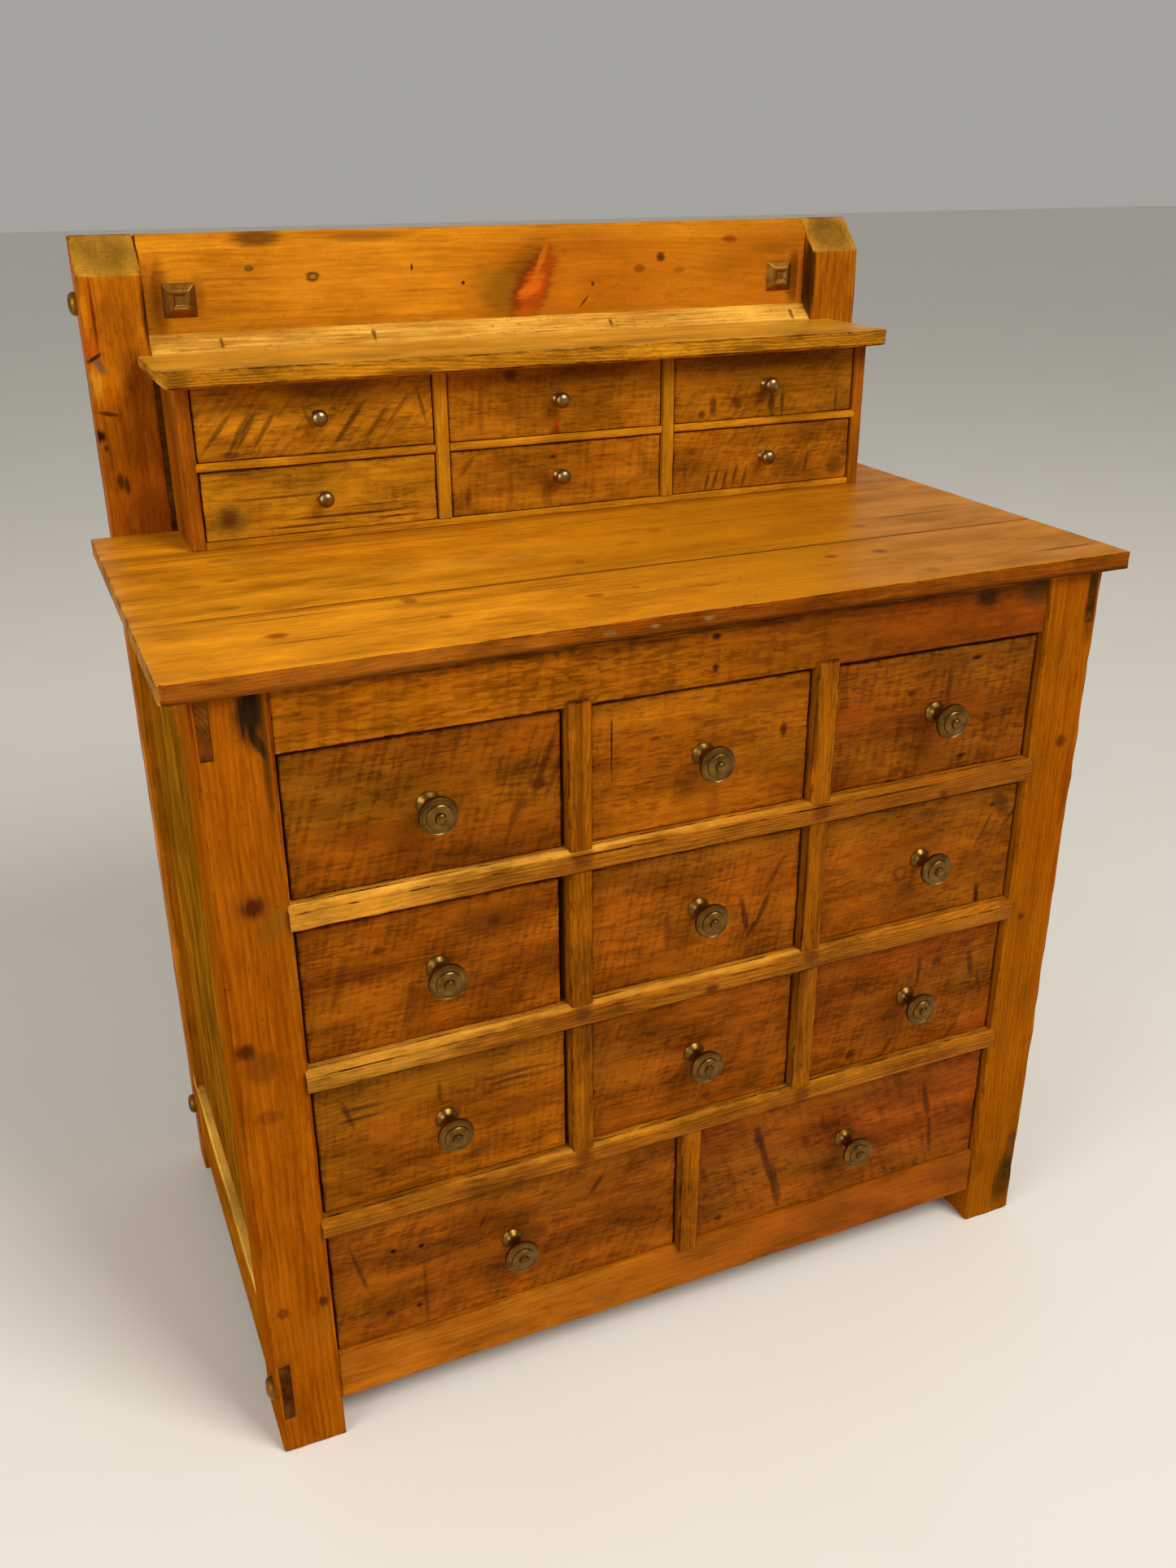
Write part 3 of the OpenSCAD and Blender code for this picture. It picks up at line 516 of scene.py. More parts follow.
piece("apron", [board((INNER_LEFT, 3, 838), (INNER_RIGHT, 28, POST_TOP), 0, ease=1.6,
                      step=(20, 12, 8))],
      "carcass", [apron_pine, tenon_end], dent=0.7, wear=1.6)


# Bottom rail: a plain rail between the front posts, 50 mm clear of the floor.
bottom_pine = pine(
    "waxed_pine_bottom_rail", "#b4680f", "#964a06", "#5c2a06", ring=0.45, ring_mm=6,
    dashes=0.5, knots=0.15, worn=0.5,
    # Painted shade: the right end darkened, as the light falls off towards the right.
    marks=on_front(4, [(960, 83, 520, 200, "#7f3604", 0.6)]))
piece("bottom_rail", [board((INNER_LEFT, 4, 50), (INNER_RIGHT, 44, 116), 0, ease=2,
                            step=(20, 13, 9))],
      "carcass", [bottom_pine, tenon_end], dent=0.8, wear=2)


# Drawer rails: three weathered rails that stand 5 mm in front of the posts. The
# upper front edge is worn to a bevel, and the soft wood has worn away between
# the ridges of the grain.
rail_pine = pine(
    "weathered_pine_drawer_rails", "#ae6713", "#7b3903", "#381804", ring=0.85, ring_mm=4,
    dashes=0.45, knots=0.15, worn=0.55, rough=0.46, relief=0.8, streak=0.6,
    marks=on_front(-5, [
        # Painted light: the left ends of the upper two rails paler and the right end of the top
        # one darker, as the light falls off towards the right.
        (110, 678, 180, 24, "#dc9a30", 0.45), (110, 492, 170, 24, "#d09230", 0.5),
        (860, 670, 240, 24, "#7a3c08", 0.45)], 40)
    + on_front(0, [
        # Painted highlights: pale streaks along the rails' top edges, where they catch the light
        # from above.
        (300, 686, 260, 6, "#e0a03a", 0.6), (560, 686, 200, 6, "#c88420", 0.5),
        (420, 500, 330, 6, "#d09030", 0.55), (500, 310, 480, 6, "#c88420", 0.5)], 6)
    + on_front(-5, [(x, z, 13, 15, "#5a2606", 0.65) for x in (365, 648)
                    for z in (676, 490, 300)])
    + on_front(-5, [
        (520, 480, 9, 7, "#5c2606", 0.8), (285, 288, 12, 9, "#5c2606", 0.7),
        (810, 664, 6, 6, "#5c2606", 0.7)], 20))
rails = []
for low, high in ((660, 686), (474, 500), (288, 310)):
    rails.append(board((INNER_LEFT - 4, -5, low), (INNER_RIGHT + 4, 35, high), 0, ease=1.2,
                       step=(12, 3.3, 2.4), shape=sawn_off(mm(0, -5, high - 6), (0, -6, 9))))
obj = piece("drawer_rails", rails, "carcass", [rail_pine, tenon_end], dent=0.9,
            wear=1.6)
displace(obj, 3.4, 1.7, stretch=(22, 1, 1))


# Muntins: short uprights between the drawers, their feet let into the rails.
muntin_pine = pine("waxed_pine_muntins", "#a15905", "#6c3604", "#341503", ring=0.6,
                   ring_mm=5, dashes=1.0, streak=1.0, knots=0.1, worn=0.5, relief=0.4)
MUNTIN_WIDE = 26
muntins = []
for low, high, places in ((679, 845, (352, 635)), (493, 660, (352, 635)),
                          (303, 474, (352, 635)), (109, 288, (490,))):
    for x in places:
        muntins.append(board((x, -2, low), (x + MUNTIN_WIDE, 30, high), 2, ease=2,
                             step=(6.5, 8, 12)))
piece("muntins", muntins, "carcass", [muntin_pine, tenon_end], dent=0.7, wear=2)


# Worktop: three wide boards side by side, ending at the uprights. Waxed smooth,
# with a rounded front corner and a rough, dirty front edge.
def on_top(z, strokes):
    """Marks on a face that looks up: place along and back, and the rest as before."""
    return [((x, y, z), (wide, deep, 10), *rest) for x, y, wide, deep, *rest in strokes]


def round_corner(obj):
    """Rounds the worktop's left front corner."""
    corner = mm(-25, -12, 913)
    pick(obj, "edges", lambda e: along(e, 2) and (e.verts[0].co - corner).xy.length < 0.0005)
    bpy.ops.mesh.bevel(offset=0.009, segments=4, affect="EDGES")


top_pine = pine(
    "waxed_pine_worktop", "#e29214", "#c16d08", "#834007", ring=0.3, ring_mm=7, fibre=0.4,
    dashes=0.4, knots=0.1, worn=0.45, rough=0.36, relief=0.25, coat=0.04, gleam=0.05,
    streak=0.8, uneven=0.75,
    marks=on_top(923, [
        # Painted light: the right end darker and the left front corner paler, as the light falls
        # off towards the right.
        (1080, 250, 580, 900, "#a36406", 0.7), (40, 60, 340, 220, "#e4941e", 0.35),
        # The dark band along the foot of the small drawer box is painted shade, with some dirt in
        # it.
        (500, 410, 900, 15, "#7c420a", 0.55), (330, 250, 120, 26, "#d8922a", 0.35),
        (97, 79, 12, 10, "#7a3a08", 0.8), (240, 136, 9, 15, "#6a3c0c", 0.6),
        (256, 72, 9, 6, "#8a4c0a", 0.7), (416, 77, 11, 8, "#9a4a08", 0.8),
        (466, 88, 7, 5, "#9a4a08", 0.7), (711, 106, 9, 8, "#7a3c08", 0.8),
        (773, 104, 11, 9, "#5c3c0c", 0.7), (452, 200, 8, 8, "#8a4408", 0.7),
        (640, 200, 7, 6, "#8a4408", 0.7), (816, 209, 9, 7, "#6a400c", 0.7),
        (72, 185, 16, 8, "#7a5212", 0.6), (96, 368, 14, 8, "#8a4c10", 0.6),
        (126, 350, 26, 28, "#8c6420", 0.45), (535, 253, 12, 9, "#a0560c", 0.6),
        (586, 291, 11, 11, "#9a520c", 0.6), (45, 276, 16, 7, "#9a560c", 0.6),
        (90, 284, 11, 6, "#8a4a0c", 0.6), (550, 205, 300, 18, "#a85e08", 0.5),
        (500, 156.4, 700, 2.6, "#5c2e08", 0.85), (500, 366, 700, 1.8, "#7a4208", 0.7),
        (160, 149, 170, 4, "#8a4808", 0.6), (640, 394, 13, 9, "#7c4c10", 0.6),
        (105, 132, 70, 1.6, "#4a2206", 0.9), (410, 128, 80, 1.4, "#5a2c08", 0.8),
        (130, 56, 60, 2, "#6a3608", 0.8), (450, 66, 70, 1.6, "#7a4008", 0.7),
        (900, 234, 80, 3, "#5c3008", 0.75), (965, 31, 50, 3, "#4c2c08", 0.8),
        (780, 17, 12, 10, "#7c5010", 0.6), (540, 62, 14, 4, "#8a4c0a", 0.6),
        (820, 48, 12, 12, "#8a5a14", 0.6)]))
WORKTOP_TOP = 923
top_end = end_grain("waxed_pine_worktop_ends", "#b97a26", "#7c4a12")
front_edge = pine(
    "worn_pine_worktop_edge", "#964b06", "#682e04", "#301404", ring=0.5, ring_mm=3,
    dashes=0.7, knots=0, worn=0.5, rough=0.55, relief=0.6,
    # Painted light: the left end of the edge paler, as the light falls off towards the right.
    marks=on_front(-12, [(120, 913, 230, 20, "#aa6219", 0.6)], 20)
    + on_front(-12, [
        (500, 904, 1300, 5, "#2c1204", 0.7), (392, 913, 8, 3.4, "#8a6a38", 0.6),
        (440, 914, 6, 2.6, "#8f7444", 0.6), (497, 914, 7, 3, "#8f7444", 0.6),
        (60, 913, 90, 20, "#8e4a10", 0.5)], 10))
boards = []
for near, far in ((-12, 154.8), (155, 365.8), (366, REAR)):
    boards.append(board((-25, near, POST_TOP), (CASE_WIDE + 25, far, WORKTOP_TOP), 0,
                        ease=2, step=(15, 14, 5),
                        shape=round_corner if near < 0 else None))
for face in boards[0].data.polygons:
    if face.normal.y < -0.75:
        face.material_index = 2
boards[0].data.update()
piece("worktop", boards, "carcass", [top_pine, top_end, front_edge],
      dent=0.5, wear=1.4)


# Top rail: a thick board between the uprights with its upper edge cut to a slope,
# pocketed for two square nuts. It has one large red knot.
high_pine = pine(
    "waxed_pine_top_rail", "#d98b18", "#b86207", "#7a3605", ring=0.35, ring_mm=6, dashes=0.35,
    knots=0.12, worn=0.4, rough=0.36, uneven=0.6,
    marks=on_front(547, [
        # Painted light: darker across the middle and the right end, and a little paler at the
        # left, as the light falls off towards the right.
        (600, 1190, 150, 90, "#a25208", 0.55), (930, 1190, 190, 90, "#a05008", 0.5),
        (290, 1190, 160, 60, "#e49420", 0.15), (520, 1186, 30, 62, "#6e4008", 0.75, 42),
        (492, 1176, 40, 26, "#8c5a10", 0.6, 30), (536, 1172, 22, 66, "#642006", 0.85, 24),
        (538, 1170, 15, 60, "#aa480a", 0.9, 24), (536, 1176, 8, 22, "#c8640f", 0.7, 50),
        (552, 1212, 5, 22, "#cc6c14", 0.7, 24), (191, 1210, 7, 4.4, "#3a2008", 0.9),
        (191, 1210, 3.4, 2, "#8a6424", 0.9), (264, 1198, 8, 5, "#3a2008", 0.9),
        (264, 1198, 4.4, 2.4, "#9a6c24", 0.9), (384, 1205, 1.6, 4, "#2a1206", 0.9),
        (448, 1185, 2.6, 2.6, "#140a04", 0.95), (715, 1207, 6, 5, "#3c1a06", 0.85),
        (685, 1194, 8, 5, "#7a3c08", 0.8), (742, 1190, 8, 4, "#8a4a0c", 0.7),
        (680, 1170, 7, 5, "#a85c0c", 0.7), (620, 1178, 2.4, 4, "#3a1806", 0.8),
        (608, 1157, 1.4, 12, "#3a1806", 0.8, 42), (815, 1226, 12, 6, "#7a2c06", 0.7),
        (86, 1176, 14, 44, "#70340a", 0.75), (78, 1200, 4, 30, "#c8701c", 0.6, 12),
        (132, 1180, 9, 26, "#8a4a0c", 0.5), (914, 1180, 12, 38, "#5e2a08", 0.8),
        (880, 1214, 44, 9, "#8a540e", 0.6), (922, 1176, 4, 34, "#c86a18", 0.6)], 20)
    + on_front(560, [
        (205, 1240, 34, 12, "#4a240a", 0.8), (330, 1240, 60, 6, "#6a3a0c", 0.6)], 20)
    + on_front(547, [(500, 1148, 330, 4, "#9a5c10", 0.4)], 20))
piece("top_rail", [board((INNER_LEFT, 547, 1100), (INNER_RIGHT, BACK, REAR_TOP), 0, ease=2.4,
                         step=(16, 8, 10), shape=sawn_off(mm(0, 547, 1231), (0, -17, 25)))],
      "carcass", [high_pine, tenon_end], dent=0.9, wear=2.2)


# Small drawer box: two sides, a floor, a back, two dividers and three level
# partitions, stood on the worktop under the shelf.
box_side_pine = pine("waxed_pine_box_sides", "#a4590c", "#7d3c06", "#4b2105", ring=0.45,
                     ring_mm=5, dashes=0.3, knots=0.1, worn=0.45)
BOX_FACE, BOX_TOP = 415, 1103
piece("box_sides", [board((x, BOX_FACE, WORKTOP_TOP), (x + 15, REAR, BOX_TOP), 2, ease=1.4,
                          step=(7, 9, 14)) for x in (74, 933)],
      "carcass", [box_side_pine, tenon_end], dent=0.5, wear=1.2)
divider_pine = pine("waxed_pine_dividers", "#cd8713", "#ac650a", "#6b3808", ring=0.4,
                    ring_mm=4, dashes=0.25, knots=0.08, worn=0.5)
piece("box_floor", [board((89, BOX_FACE, WORKTOP_TOP), (933, REAR, 931), 0, ease=1.2,
                          step=(20, 12, 4))],
      "carcass", [divider_pine, tenon_end], dent=0.4, wear=1)
piece("box_dividers", [board((x, BOX_FACE, 931), (x + 16, REAR, BOX_TOP), 2, ease=1.4,
                             step=(5, 10, 12)) for x in (363, 656)],
      "carcass", [divider_pine, tenon_end], dent=0.5, wear=1.2)
piece("box_partitions", [board((a, BOX_FACE, 1010), (b, REAR, 1019), 0, ease=1.6,
                               step=(14, 12, 4)) for a, b in ((84, 363), (379, 656), (672, 938))],
      "carcass", [divider_pine, tenon_end], dent=0.4, wear=1)


# Shelf: a plank over the small drawers whose front edge follows the tree, worn
# bright along its upper edge and marked dark at its left end.
shelf_pine = pine(
    "waxed_pine_shelf", "#da9827", "#b57213", "#6e3807", ring=0.3, ring_mm=7, dashes=0.3,
    knots=0.1, worn=0.7, rough=0.34, relief=0.3, coat=0.2, gleam=0.25,
    marks=on_front(384, [(75, 1112, 18, 20, "#5a3410", 0.6)], 14)
    + on_front(382, [(110, 1112, 10, 8, "#3a1c08", 0.6)], 8))


def shelf_nose(obj):
    """Saws off the shelf's left front corner, and takes its left end back below."""
    sawn_off(mm(53, 396, 1113), (-14, -13, 0))(obj)
    sawn_off(mm(53, 450, 1113), (-10, 0, -12))(obj)


waney_edge = pine(
    "waney_pine_shelf_edge", "#c98619", "#975105", "#4a2206", ring=0.55, ring_mm=3,
    dashes=0.8, knots=0.1, worn=0.8, relief=0.9,
    marks=on_front(384, [(75, 1112, 16, 12, "#5a3410", 0.6)], 14)
    + on_front(375, [
        (330, 1108, 40, 3, "#5a2c08", 0.7), (760, 1110, 30, 4, "#5a2c08", 0.6)]))
obj = board((53, 382, 1103), (957, 527, 1123), 0, ease=3, step=(14, 9, 4), shape=shelf_nose)
for face in obj.data.polygons:
    if face.normal.y < -0.6:
        face.material_index = 2
group = obj.vertex_groups.new(name="front")
front = [v.index for v in obj.data.vertices if v.co.y < mm(0, 392, 0).y]
group.add(front, 1, "REPLACE")
displace(obj, 90, 11, "front", mid=0.35, way="Y", stretch=(1, 1, 3))
displace(obj, 22, 3, "front", mid=0.4, way="Y")
piece("shelf", [obj], "carcass", [shelf_pine, top_end, waney_edge],
      dent=0.8, wear=3)


# Fillet: a pale strip that closes the gap behind the shelf, sloping up to the top
# rail.
fillet_pine = pine("waxed_pine_fillet", "#e2ad45", "#bd7c25", "#72440e", ring=0.2, ring_mm=5,
                   dashes=0.3, knots=0.1, worn=0.3, rough=0.4, uneven=0.4,
                   marks=on_front(535, [(x, 1131, 3, 9, "#5a3410", 0.8)
                                        for x in (150, 330, 640, 905)], 9))
piece("shelf_fillet", [board((70, 527, 1103), (930, 547, 1143), 0, ease=1, step=(16, 5, 8),
                             shape=sawn_off(mm(0, 527, 1123), (0, -1, 1)))],
      "carcass", [fillet_pine, tenon_end], dent=0.4, wear=1)


# Back boards and the box's back: plain unfinished boards nailed on behind. The box's back
# is coloured dark brown as painted shade, since it is seen mainly down narrow gaps.
raw_pine = pine("raw_pine_boards", "#b98b4e", "#96683a", "#5c3c1c", ring=0.45, ring_mm=6,
                dashes=0.3, knots=0.35, worn=0.2, grime=0.1, rough=0.6, relief=0.4, saw=0.25)
raw_end = pine("raw_pine_ends", "#a87c46", "#7a5228", "#4a3014", ring=0.5, ring_mm=3,
               knots=0, worn=0.1, rough=0.65)
pitch = 860 / 6
piece("back_boards", [board((70.2 + i * pitch, 527.2, 50), (69.8 + (i + 1) * pitch, 539.2, 903),
                            2, ease=1, step=(16, 12, 30)) for i in range(6)],
      "carcass", [raw_pine, raw_end], dent=0.8, wear=0.8)
# Painted shade: dark brown, so the gap beside the small drawer box reads dark.
box_back_shade_pine = pine("painted_shade_box_back", "#6a3c12", "#42240a", "#241204", ring=0.4,
                     dashes=0.4, knots=0.2, worn=0.2, rough=0.6, relief=0.4)
piece("box_back", [board((65, 527.6, 903), (935, 537, 1103), 0, ease=0.6, step=(30, 10, 20))],
      "carcass", [box_back_shade_pine, raw_end], dent=0, wear=0)


# Inner frame: the cross rails, runners and guides that carry the drawers. They
# are cut from raw pine and only seen with the drawers out.
def carried_piece(name):
    """A piece made from a plain CAD node: a copy of it is merged and parted into its
    boards, and each of them eased and marked with its grain."""
    obj = frame["nodes"][name].copy()
    obj.data = obj.data.copy()
    bpy.context.scene.collection.objects.link(obj)
    obj.parent = None
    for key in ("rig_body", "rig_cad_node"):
        del obj[key]
    obj.data.materials.clear()
    hold(obj)
    bpy.ops.object.mode_set(mode="EDIT")
    bpy.ops.mesh.select_all(action="SELECT")
    bpy.ops.mesh.remove_doubles(threshold=0.00005)
    bpy.ops.mesh.dissolve_limited(angle_limit=math.radians(2))
    bpy.ops.mesh.separate(type="LOOSE")
    bpy.ops.object.mode_set(mode="OBJECT")
    boards = list(bpy.context.selected_objects)
    for part in boards:
        hold(part)
        co = np.array([v.co for v in part.data.vertices])
        low, high = Vector(co.min(0)), Vector(co.max(0))
        bpy.ops.object.mode_set(mode="EDIT")
        bpy.ops.mesh.select_all(action="SELECT")
        bpy.ops.mesh.bevel(offset=0.0006, segments=1, affect="EDGES")
        bpy.ops.object.mode_set(mode="OBJECT")
        mark_grain(part, low, high, int(np.argmax(co.max(0) - co.min(0))), 0.6)
        part.vertex_groups.clear()
    piece(name, boards, "carcass", [raw_pine, raw_end], dent=0, wear=0)


for name in ("cross_rails", "drawer_runners", "drawer_guides"):
    carried_piece(name)


# Bolts and square nuts: six iron bolts with domed heads hold the frame, and the
# upper two end in square nuts with bevelled faces. Brown with age.
def metal(name, bright, brown, rough, patchy):
    """Old metal: brown in the hollows and patches, rubbed brighter elsewhere."""
    material = bpy.data.materials.new(name)
    material.use_nodes = True
    tree = material.node_tree
    tree.nodes.clear()
    out = add(tree, "OutputMaterial")
    shader = add(tree, "BsdfPrincipled", Metallic=1.0)
    tree.links.new(shader.outputs[0], out.inputs[0])
    place = add(tree, "TexCoord").outputs["Object"]
    patch = add(tree, "TexNoise", Vector=place, Scale=90.0, Detail=3.0, Roughness=0.6)
    fac = add(tree, "MapRange", _0=patch, _1=0.5 - patchy, _2=0.5 + patchy)
    colour = add(tree, "Mix", MIXED, _0=fac, _6=linear(bright), _7=linear(brown))
    tree.links.new(colour.outputs[2], shader.inputs["Base Color"])
    gloss = add(tree, "MapRange", _0=patch, _1=0.3, _2=0.7, _3=rough - 0.08, _4=rough + 0.12)
    tree.links.new(gloss.outputs[0], shader.inputs["Roughness"])
    pits = add(tree, "TexNoise", Vector=place, Scale=700.0, Detail=2.0)
    bump = add(tree, "Bump", Height=pits, Strength=0.25, Distance=0.0003)
    tree.links.new(bump.outputs[0], shader.inputs["Normal"])
    return material


def turned(name, outline, place, way, segments=40):
    """A turned piece: a disc drawn out ring by ring through radius and reach in mm,
    then stood on its place and pointed along an axis."""
    bpy.ops.object.select_all(action="DESELECT")
    bpy.ops.mesh.primitive_circle_add(vertices=segments, radius=outline[0][0] / 1000,
                                      location=(0, 0, outline[0][1] / 1000), fill_type="NGON")
    obj = bpy.context.object
    bpy.ops.object.transform_apply(location=True, rotation=True, scale=True)
    bpy.ops.object.mode_set(mode="EDIT")
    bpy.ops.mesh.select_all(action="SELECT")
    bpy.ops.mesh.flip_normals()
    for (r0, h0), (r1, h1) in zip(outline, outline[1:]):
        bpy.ops.mesh.extrude_region_move(
            TRANSFORM_OT_translate={"value": (0, 0, (h1 - h0) / 1000)})
        bpy.ops.transform.resize(value=(r1 / r0, r1 / r0, 1),
                                 center_override=(0, 0, h1 / 1000))
    bpy.ops.mesh.select_all(action="SELECT")
    bpy.ops.mesh.normals_make_consistent(inside=False)
    bpy.ops.object.mode_set(mode="OBJECT")
    obj.name = obj.data.name = name
    obj.rotation_euler = way
    obj.location = place
    bpy.ops.object.transform_apply(location=True, rotation=True, scale=True)
    bpy.ops.object.shade_smooth_by_angle(angle=math.radians(32))
    return obj


iron = metal("aged_iron_bolts", "#9c6b29", "#683f10", 0.46, 0.25)
bolts = []
head = [(6, -4), (13, 0), (13, 3.6), (12.4, 5), (10.6, 7), (7, 8.5), (3, 9)]
for x, turn in ((0, -1), (1000, 1)):
    for y, z in ((24, 78), (549.5, 100), (559.5, 1178)):
        bolts.append(turned("bolt", head, mm(x, y, z), (0, turn * math.pi / 2, 0), 28))
for x in (110, 890):
    bpy.ops.object.select_all(action="DESELECT")
    bpy.ops.mesh.primitive_cube_add(size=1, location=mm(x, 553, 1178), scale=(0.038, 0.012, 0.038))
    nut = bpy.context.object
    bpy.ops.object.transform_apply(location=True, rotation=True, scale=True)
    bpy.ops.object.mode_set(mode="EDIT")
    bpy.ops.mesh.select_mode(type="FACE")
    pick(nut, "faces", lambda f: f.normal.y < -0.9)
    bpy.ops.mesh.extrude_region_move(TRANSFORM_OT_translate={"value": (0, -0.007, 0)})
    bpy.ops.transform.resize(value=(0.56, 1, 0.56), center_override=mm(x, 540, 1178))
    bpy.ops.mesh.inset(thickness=0.0035)
    bpy.ops.mesh.inset(thickness=0.0015)
    bpy.ops.transform.translate(value=(0, 0.0024, 0))
    bpy.ops.mesh.select_all(action="SELECT")
    bpy.ops.mesh.bevel(offset=0.0012, segments=2, affect="EDGES")
    bpy.ops.mesh.subdivide(number_cuts=2)
    bpy.ops.object.mode_set(mode="OBJECT")
    bolts.append(nut)
hold(*bolts)
bpy.ops.object.join()
obj = bolts[0]
obj.name = obj.data.name = "bolts_and_nuts"
obj.data.materials.append(iron)
displace(obj, 9, 0.5)
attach(obj, "carcass")
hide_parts("frame_bolts")


# Large knobs: turned bronze knobs with a flange, a waisted neck and a stepped head
# with a small boss in the middle, dull and dark with handling.
bronze = metal("aged_bronze_knobs", "#86622a", "#4f3613", 0.34, 0.25)
pewter = metal("worn_pewter_knobs", "#a88c5c", "#6c5430", 0.3, 0.25)
large_outline = [(4, -6), (12.4, 0), (12.5, 1.4), (11.4, 3), (8.6, 5), (7.2, 8), (6.7, 12),
                 (7.0, 16), (8.6, 20.5), (12, 24.5), (16.6, 27.6), (19.2, 29), (20, 30.6),
                 (20, 33), (19.3, 34.4), (18.2, 34.9), (17.4, 34.3), (13.6, 35.6), (13.2, 37.3),
                 (12.4, 38), (6.4, 38.9), (5.4, 38.5), (4.8, 40.6), (3.4, 41.7), (1.2, 42)]
small_outline = [(2.5, -4), (7.1, 0), (7.2, 1.3), (6.2, 2.6), (4.2, 4.4), (3.8, 8), (4.6, 10),
                 (7, 11.4), (8.8, 12.8), (9.5, 14.4), (9.4, 16.2), (8.3, 18.6), (6.2, 20.6),
                 (3.4, 21.7), (1, 22)]
upper = ((70, 352), (378, 635), (661, 930))
lower = ((70, 490), (516, 930))
large_slots = [(o, 686, 838, 4) for o in upper] + [(o, 500, 660, 8) for o in upper] \
    + [(o, 310, 474, 8) for o in upper] + [(o, 116, 288, 8) for o in lower]
small_places = ((89, 363), (379, 656), (672, 933))
small_slots = [(o, 1019, 1103) for o in small_places] + [(o, 931, 1010) for o in small_places]
for i, slot in enumerate(large_slots, 1):
    place = mm((slot[0][0] + slot[0][1]) / 2, 8, (slot[1] + slot[2]) / 2)
    knob = turned(f"large_knob_{i}_turned", large_outline, place, (math.pi / 2, 0, 0))
    knob.data.materials.append(bronze)
    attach(knob, f"large_drawer_{i}")
    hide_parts(f"large_knob_{i}")
for i, slot in enumerate(small_slots, 1):
    place = mm((slot[0][0] + slot[0][1]) / 2, 418, (slot[1] + slot[2]) / 2)
    knob = turned(f"small_knob_{i}_turned", small_outline, place, (math.pi / 2, 0, 0), 32)
    knob.data.materials.append(pewter)
    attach(knob, f"small_drawer_{i}")
    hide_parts(f"small_knob_{i}")


# Drawers: a sawn front with open grain, two sides, a back and a bottom of raw
# pine. Each front is from a different board, and its edges are worn.
def drawer(name, x0, x1, z0, z1, y0, y1, front_t, side_t, bottom_t, lift, wood, trim):
    """One drawer in millimetres: its front, and the box behind it."""
    left, right, top = trim
    front = board((x0 + left, y0, z0), (x1 - right, y0 + front_t, z1 - top), 0, ease=2,
                  step=(13, 9, 10))
    piece(name + "_front", [front], name, [wood, post_end], dent=1.0, wear=2,
          stands_for=[name])
    y = y0 + front_t
    box = [board((x, y, z0), (x + side_t, y1, z1 - 10), 1, ease=0.8, step=(10, 40, 40))
           for x in (x0, x1 - side_t)]
    box.append(board((x0 + side_t, y1 - side_t, z0), (x1 - side_t, y1, z1 - 10), 0, ease=0.8,
                     step=(40, 10, 40)))
    box.append(board((x0 + side_t, y, z0 + lift), (x1 - side_t, y1 - side_t,
                     z0 + lift + bottom_t), 1, ease=0.5, step=(40, 40, 10)))
    piece(name + "_box", box, name, [raw_pine, raw_end], dent=0, wear=0.8,
          stands_for=[name])


large_looks = [
    ("#944d06", "#733606", "#421c05", dict(saw=0.9, slant=0.3, saw_mm=10), (0, 1, 0)),
    ("#a85c08", "#8b4405", "#502606", dict(saw=0.35, slant=0.1, saw_mm=12), (0, 0, 0)),
    ("#944806", "#773505", "#411e05", dict(saw=0.9, slant=0.15, saw_mm=12), (1, 1, 1)),
    ("#a15506", "#7d3904", "#441b05", dict(saw=0.8, slant=0.25, saw_mm=9), (0, 5, 1)),
    ("#a25307", "#813d05", "#4a2208", dict(saw=0.8, slant=0.2, saw_mm=8), (0, 0, 0)),
    ("#a05207", "#864004", "#4b2306", dict(saw=0.5, slant=0.3, saw_mm=10), (1, 0, 0)),
    ("#a85c07", "#8a4504", "#4d2306", dict(saw=0.7, slant=0.1, saw_mm=9), (0, 1, 0)),
    ("#9f5206", "#803c04", "#482008", dict(saw=0.7, slant=0.3, saw_mm=10), (0, 0, 1)),
    ("#9a4905", "#7c3603", "#451e05", dict(saw=0.8, slant=0.25, saw_mm=10), (0, 1, 0)),
    ("#9e5206", "#7e3d04", "#451e05", dict(saw=0.7, slant=0.4, saw_mm=12), (0, 0, 0)),
    ("#9b4906", "#7b3604", "#401b06", dict(saw=0.6, slant=-0.3, saw_mm=16), (0, 1, 0)),
]
